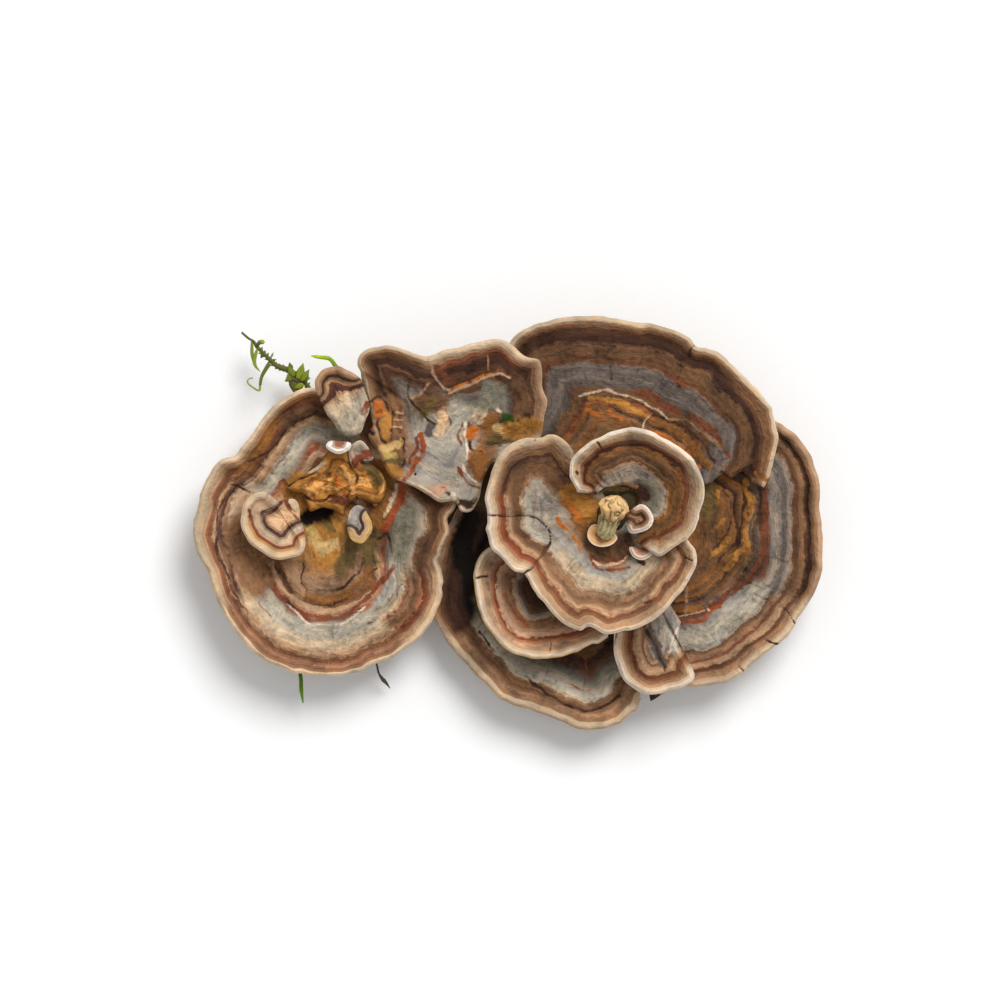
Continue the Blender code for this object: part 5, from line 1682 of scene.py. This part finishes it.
blades = [
    strand(
        "upper_blade",
        hidden=[(-34.0, 12.4, 3.3), (-32.8, 22.0, 6.4), (-34.0, 30.0, 9.4)],
        seen=at_height([(334.6, 365), (332, 361), (328, 358), (318, 356.8), (311, 355.5)], 9.7),
        count=60,
        radii=[(0, 0.42), (52, 0.42), (57, 0.34), (59, 0.12)],
        tones=[(0, 0.0), (45, 0.4), (59, 1.0)],
        flatness=0.55,
    ),
    strand(
        "lower_blade",
        hidden=[(-38.2, -5.0, 3.1), (-40.8, -18.0, 5.0), (-41.8, -29.0, 6.5)],
        seen=at_height([(300.6, 680), (300.8, 690), (302.6, 703.5)], 6.7),
        count=50,
        radii=[(0, 0.4), (45, 0.4), (49, 0.12)],
        tones=[(0, 0.2), (49, 0.3)],
        flatness=0.55,
    ),
]
for blade in blades:
    blade.data.materials.append(plant_finish(f"{blade.name}_green", GRASS_STOPS, 0.4, 2500.0))
rootlet = strand(
    "rootlet",
    hidden=[(-32.4, -4.6, 3.1), (-28.6, -18.0, 4.4), (-26.8, -27.0, 4.9)],
    seen=at_height([(377, 668), (378.5, 674), (382, 679.5), (386, 684), (389.5, 689)],
                   [4.8, 4.6, 4.2, 3.6, 3.0]),
    count=70,
    radii=[(0, 0.4), (50, 0.36), (56, 0.2), (60, 0.2), (64, 0.42), (69, 0.08)],
    tones=[(0, 0.5)],
    flatness=0.8,
)
rootlet.data.materials.append(
    plant_finish("dry_root", [(0.0, (0.03, 0.02, 0.012, 1)), (1.0, (0.12, 0.09, 0.06, 1))], 0.8)
)

# %% [markdown]
# The stub in the middle of the rose is a ribbed stalk with a lumpy knob.

# %% The stub
STUB_POINTS = 90
STUB_SIDES = 72
RIBS = 9
STUB_GUIDES = [(19.6, 1.4, 19.2), (19.3, -1.6, 21.6), (20.2, 0.8, 23.4), (21.6, 5.4, 25.2)]
FOLDS = (1.3, 4)
ROUGHNESS = (0.6, 5)


def make_stub():
    """A tube with ribs below, and with folds and dark creases on its knob."""
    turn = np.linspace(0, 2 * math.pi, STUB_SIDES, endpoint=False)
    way = np.linspace(0, 1, STUB_POINTS)
    radius = np.interp(way, [0, 0.25, 0.5, 0.66, 0.8, 0.93, 1.0], [1.5, 1.6, 1.6, 2.1, 2.9, 2.3, 0.4])
    ribs = np.cos(RIBS * turn)[None] * np.interp(way, [0, 0.55, 0.75], [1, 1, 0.1])[:, None]
    spots = np.stack(np.broadcast_arrays(3 * np.cos(turn), 3 * np.sin(turn), 12 * way[:, None]), axis=-1)
    knob = smooth(0.5, 0.7, way)[:, None]
    folds = np.abs(noise(spots, *FOLDS) - 0.5) * 2
    rough = noise(spots, *ROUGHNESS) - 0.5
    lumps = 1 + 0.12 * ribs + knob * (0.4 * folds - 0.15) + 0.12 * rough
    creases = knob * (1 - smooth(0.04, 0.22, folds))
    tone = np.interp(way, [0, 0.5, 0.7, 1.0], [0.15, 0.25, 0.75, 1.0])[:, None]
    tone = tone - 0.4 * creases + 0.1 * rough - 0.06 * ribs
    path = smooth_curve(STUB_GUIDES, STUB_POINTS)
    stalk = tube(path, radius[:, None] * lumps, tone, STUB_SIDES)
    stub = join_tubes("stub_fine", [stalk], "centre_stub")
    stub.data.materials.append(
        plant_finish("stub_flesh", [
            (0.0, (0.30, 0.24, 0.10, 1)),
            (0.2, (0.52, 0.44, 0.24, 1)),
            (0.32, (0.34, 0.27, 0.12, 1)),
            (0.5, (0.14, 0.08, 0.03, 1)),
            (0.62, (0.52, 0.33, 0.15, 1)),
            (0.8, (0.72, 0.44, 0.18, 1)),
            (1.0, (0.76, 0.50, 0.25, 1)),
        ], 0.55, 1500.0)
    )


make_stub()

# %% [markdown]
# ## The base
# The tissue that every cap grows from is a copy of the solid, with a rough surface. It stays flat
# where it rests.

# %% The base
BASE_VOXEL = 0.5  # millimetres
BASE_BUMPS = (2.2, 41)
BASE_GRAIN = (0.8, 42)


def make_base():
    """The solid of the base with an even mesh, its edges softened and its sides made rough."""
    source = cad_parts["base"]
    rough = bpy.data.objects.new("base_rough", source.data.copy())
    bpy.context.scene.collection.objects.link(rough)
    remesh = rough.modifiers.new("even", "REMESH")
    remesh.mode = "VOXEL"
    remesh.voxel_size = BASE_VOXEL * MM
    soften = rough.modifiers.new("soften", "SMOOTH")
    soften.iterations = 6
    mesh = bpy.data.meshes.new_from_object(rough.evaluated_get(bpy.context.evaluated_depsgraph_get()))
    bpy.data.objects.remove(rough)
    points = np.empty(len(mesh.vertices) * 3)
    mesh.vertices.foreach_get("co", points)
    points = points.reshape(-1, 3) / MM
    faces = [list(face.vertices) for face in mesh.polygons]
    lift = np.clip(points[:, 2] / 1.5, 0, 1)
    shift = 0.5 * (noise(points, *BASE_BUMPS) - 0.6) + 0.25 * (noise(points, *BASE_GRAIN) - 0.5)
    normals = np.empty(len(mesh.vertices) * 3)
    mesh.vertices.foreach_get("normal", normals)
    points += normals.reshape(-1, 3) * (shift * lift)[:, None]
    points[:, 2] = np.maximum(points[:, 2], 0)
    body = add_object("base_fine", points, faces, "base")
    # The tone follows height, so the base goes from brown at its foot to nearly black higher up. The dark
    # part is painted shade of the caps above it.
    set_values(body.data, "tone", np.clip(points[:, 2] / 8, 0, 1))
    body.data.materials.append(
        plant_finish("base_tissue_and_shade", [
            (0.0, (0.50, 0.36, 0.20, 1)),
            (0.1, (0.30, 0.18, 0.08, 1)),
            (0.4, (0.08, 0.05, 0.02, 1)),
            (1.0, (0.05, 0.035, 0.015, 1)),
        ], 0.85, 900.0)
    )


make_base()

# %% [markdown]
# ## Floor, light and camera
# The cluster lies on white paper, under an even sky and a soft sun from the upper right. The camera
# looks straight down from far away, so the heights of the caps hardly shift them in the picture.

# %% Floor, light and camera
FLOOR_SIZE = 8  # metres
PAPER = (0.92, 0.92, 0.92, 1)
SKY_STRENGTH = 0.55
SUN_STRENGTH = 2.4
SUN_WIDTH = math.radians(30)  # as wide as a large lamp, for soft shadows
SUN_TURN = (math.radians(-33), math.radians(22), 0)
CAMERA_PLACE = (-0.0018, 0.0046)
CAMERA_HEIGHT = 2.5
LENS = 447.7
SENSOR_WIDTH = 36


def make_stage():
    """White paper, an even sky and one soft sun."""
    bpy.ops.mesh.primitive_plane_add(size=FLOOR_SIZE)
    floor = bpy.context.object
    floor.name = "floor"
    material, _, shader = new_material("paper")
    shader.inputs["Base Color"].default_value = PAPER
    shader.inputs["Roughness"].default_value = 0.9
    floor.data.materials.append(material)
    floor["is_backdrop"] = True
    world = bpy.data.worlds.new("studio")
    world.use_nodes = True
    sky = world.node_tree.nodes["Background"]
    sky.inputs["Color"].default_value = (1, 1, 1, 1)
    sky.inputs["Strength"].default_value = SKY_STRENGTH
    bpy.context.scene.world = world
    key = bpy.data.lights.new("key", "SUN")
    key.energy = SUN_STRENGTH
    key.angle = SUN_WIDTH
    lamp = bpy.data.objects.new("key", key)
    lamp.rotation_euler = SUN_TURN
    bpy.context.scene.collection.objects.link(lamp)


def make_camera():
    """The camera, which looks straight down without being turned."""
    view = bpy.data.cameras.new("view")
    view.lens = LENS
    view.sensor_width = SENSOR_WIDTH
    camera = bpy.data.objects.new("view", view)
    camera.location = (*CAMERA_PLACE, CAMERA_HEIGHT)
    bpy.context.scene.collection.objects.link(camera)
    bpy.context.scene.camera = camera


make_stage()
make_camera()
bpy.context.scene.view_settings.view_transform = "Standard"
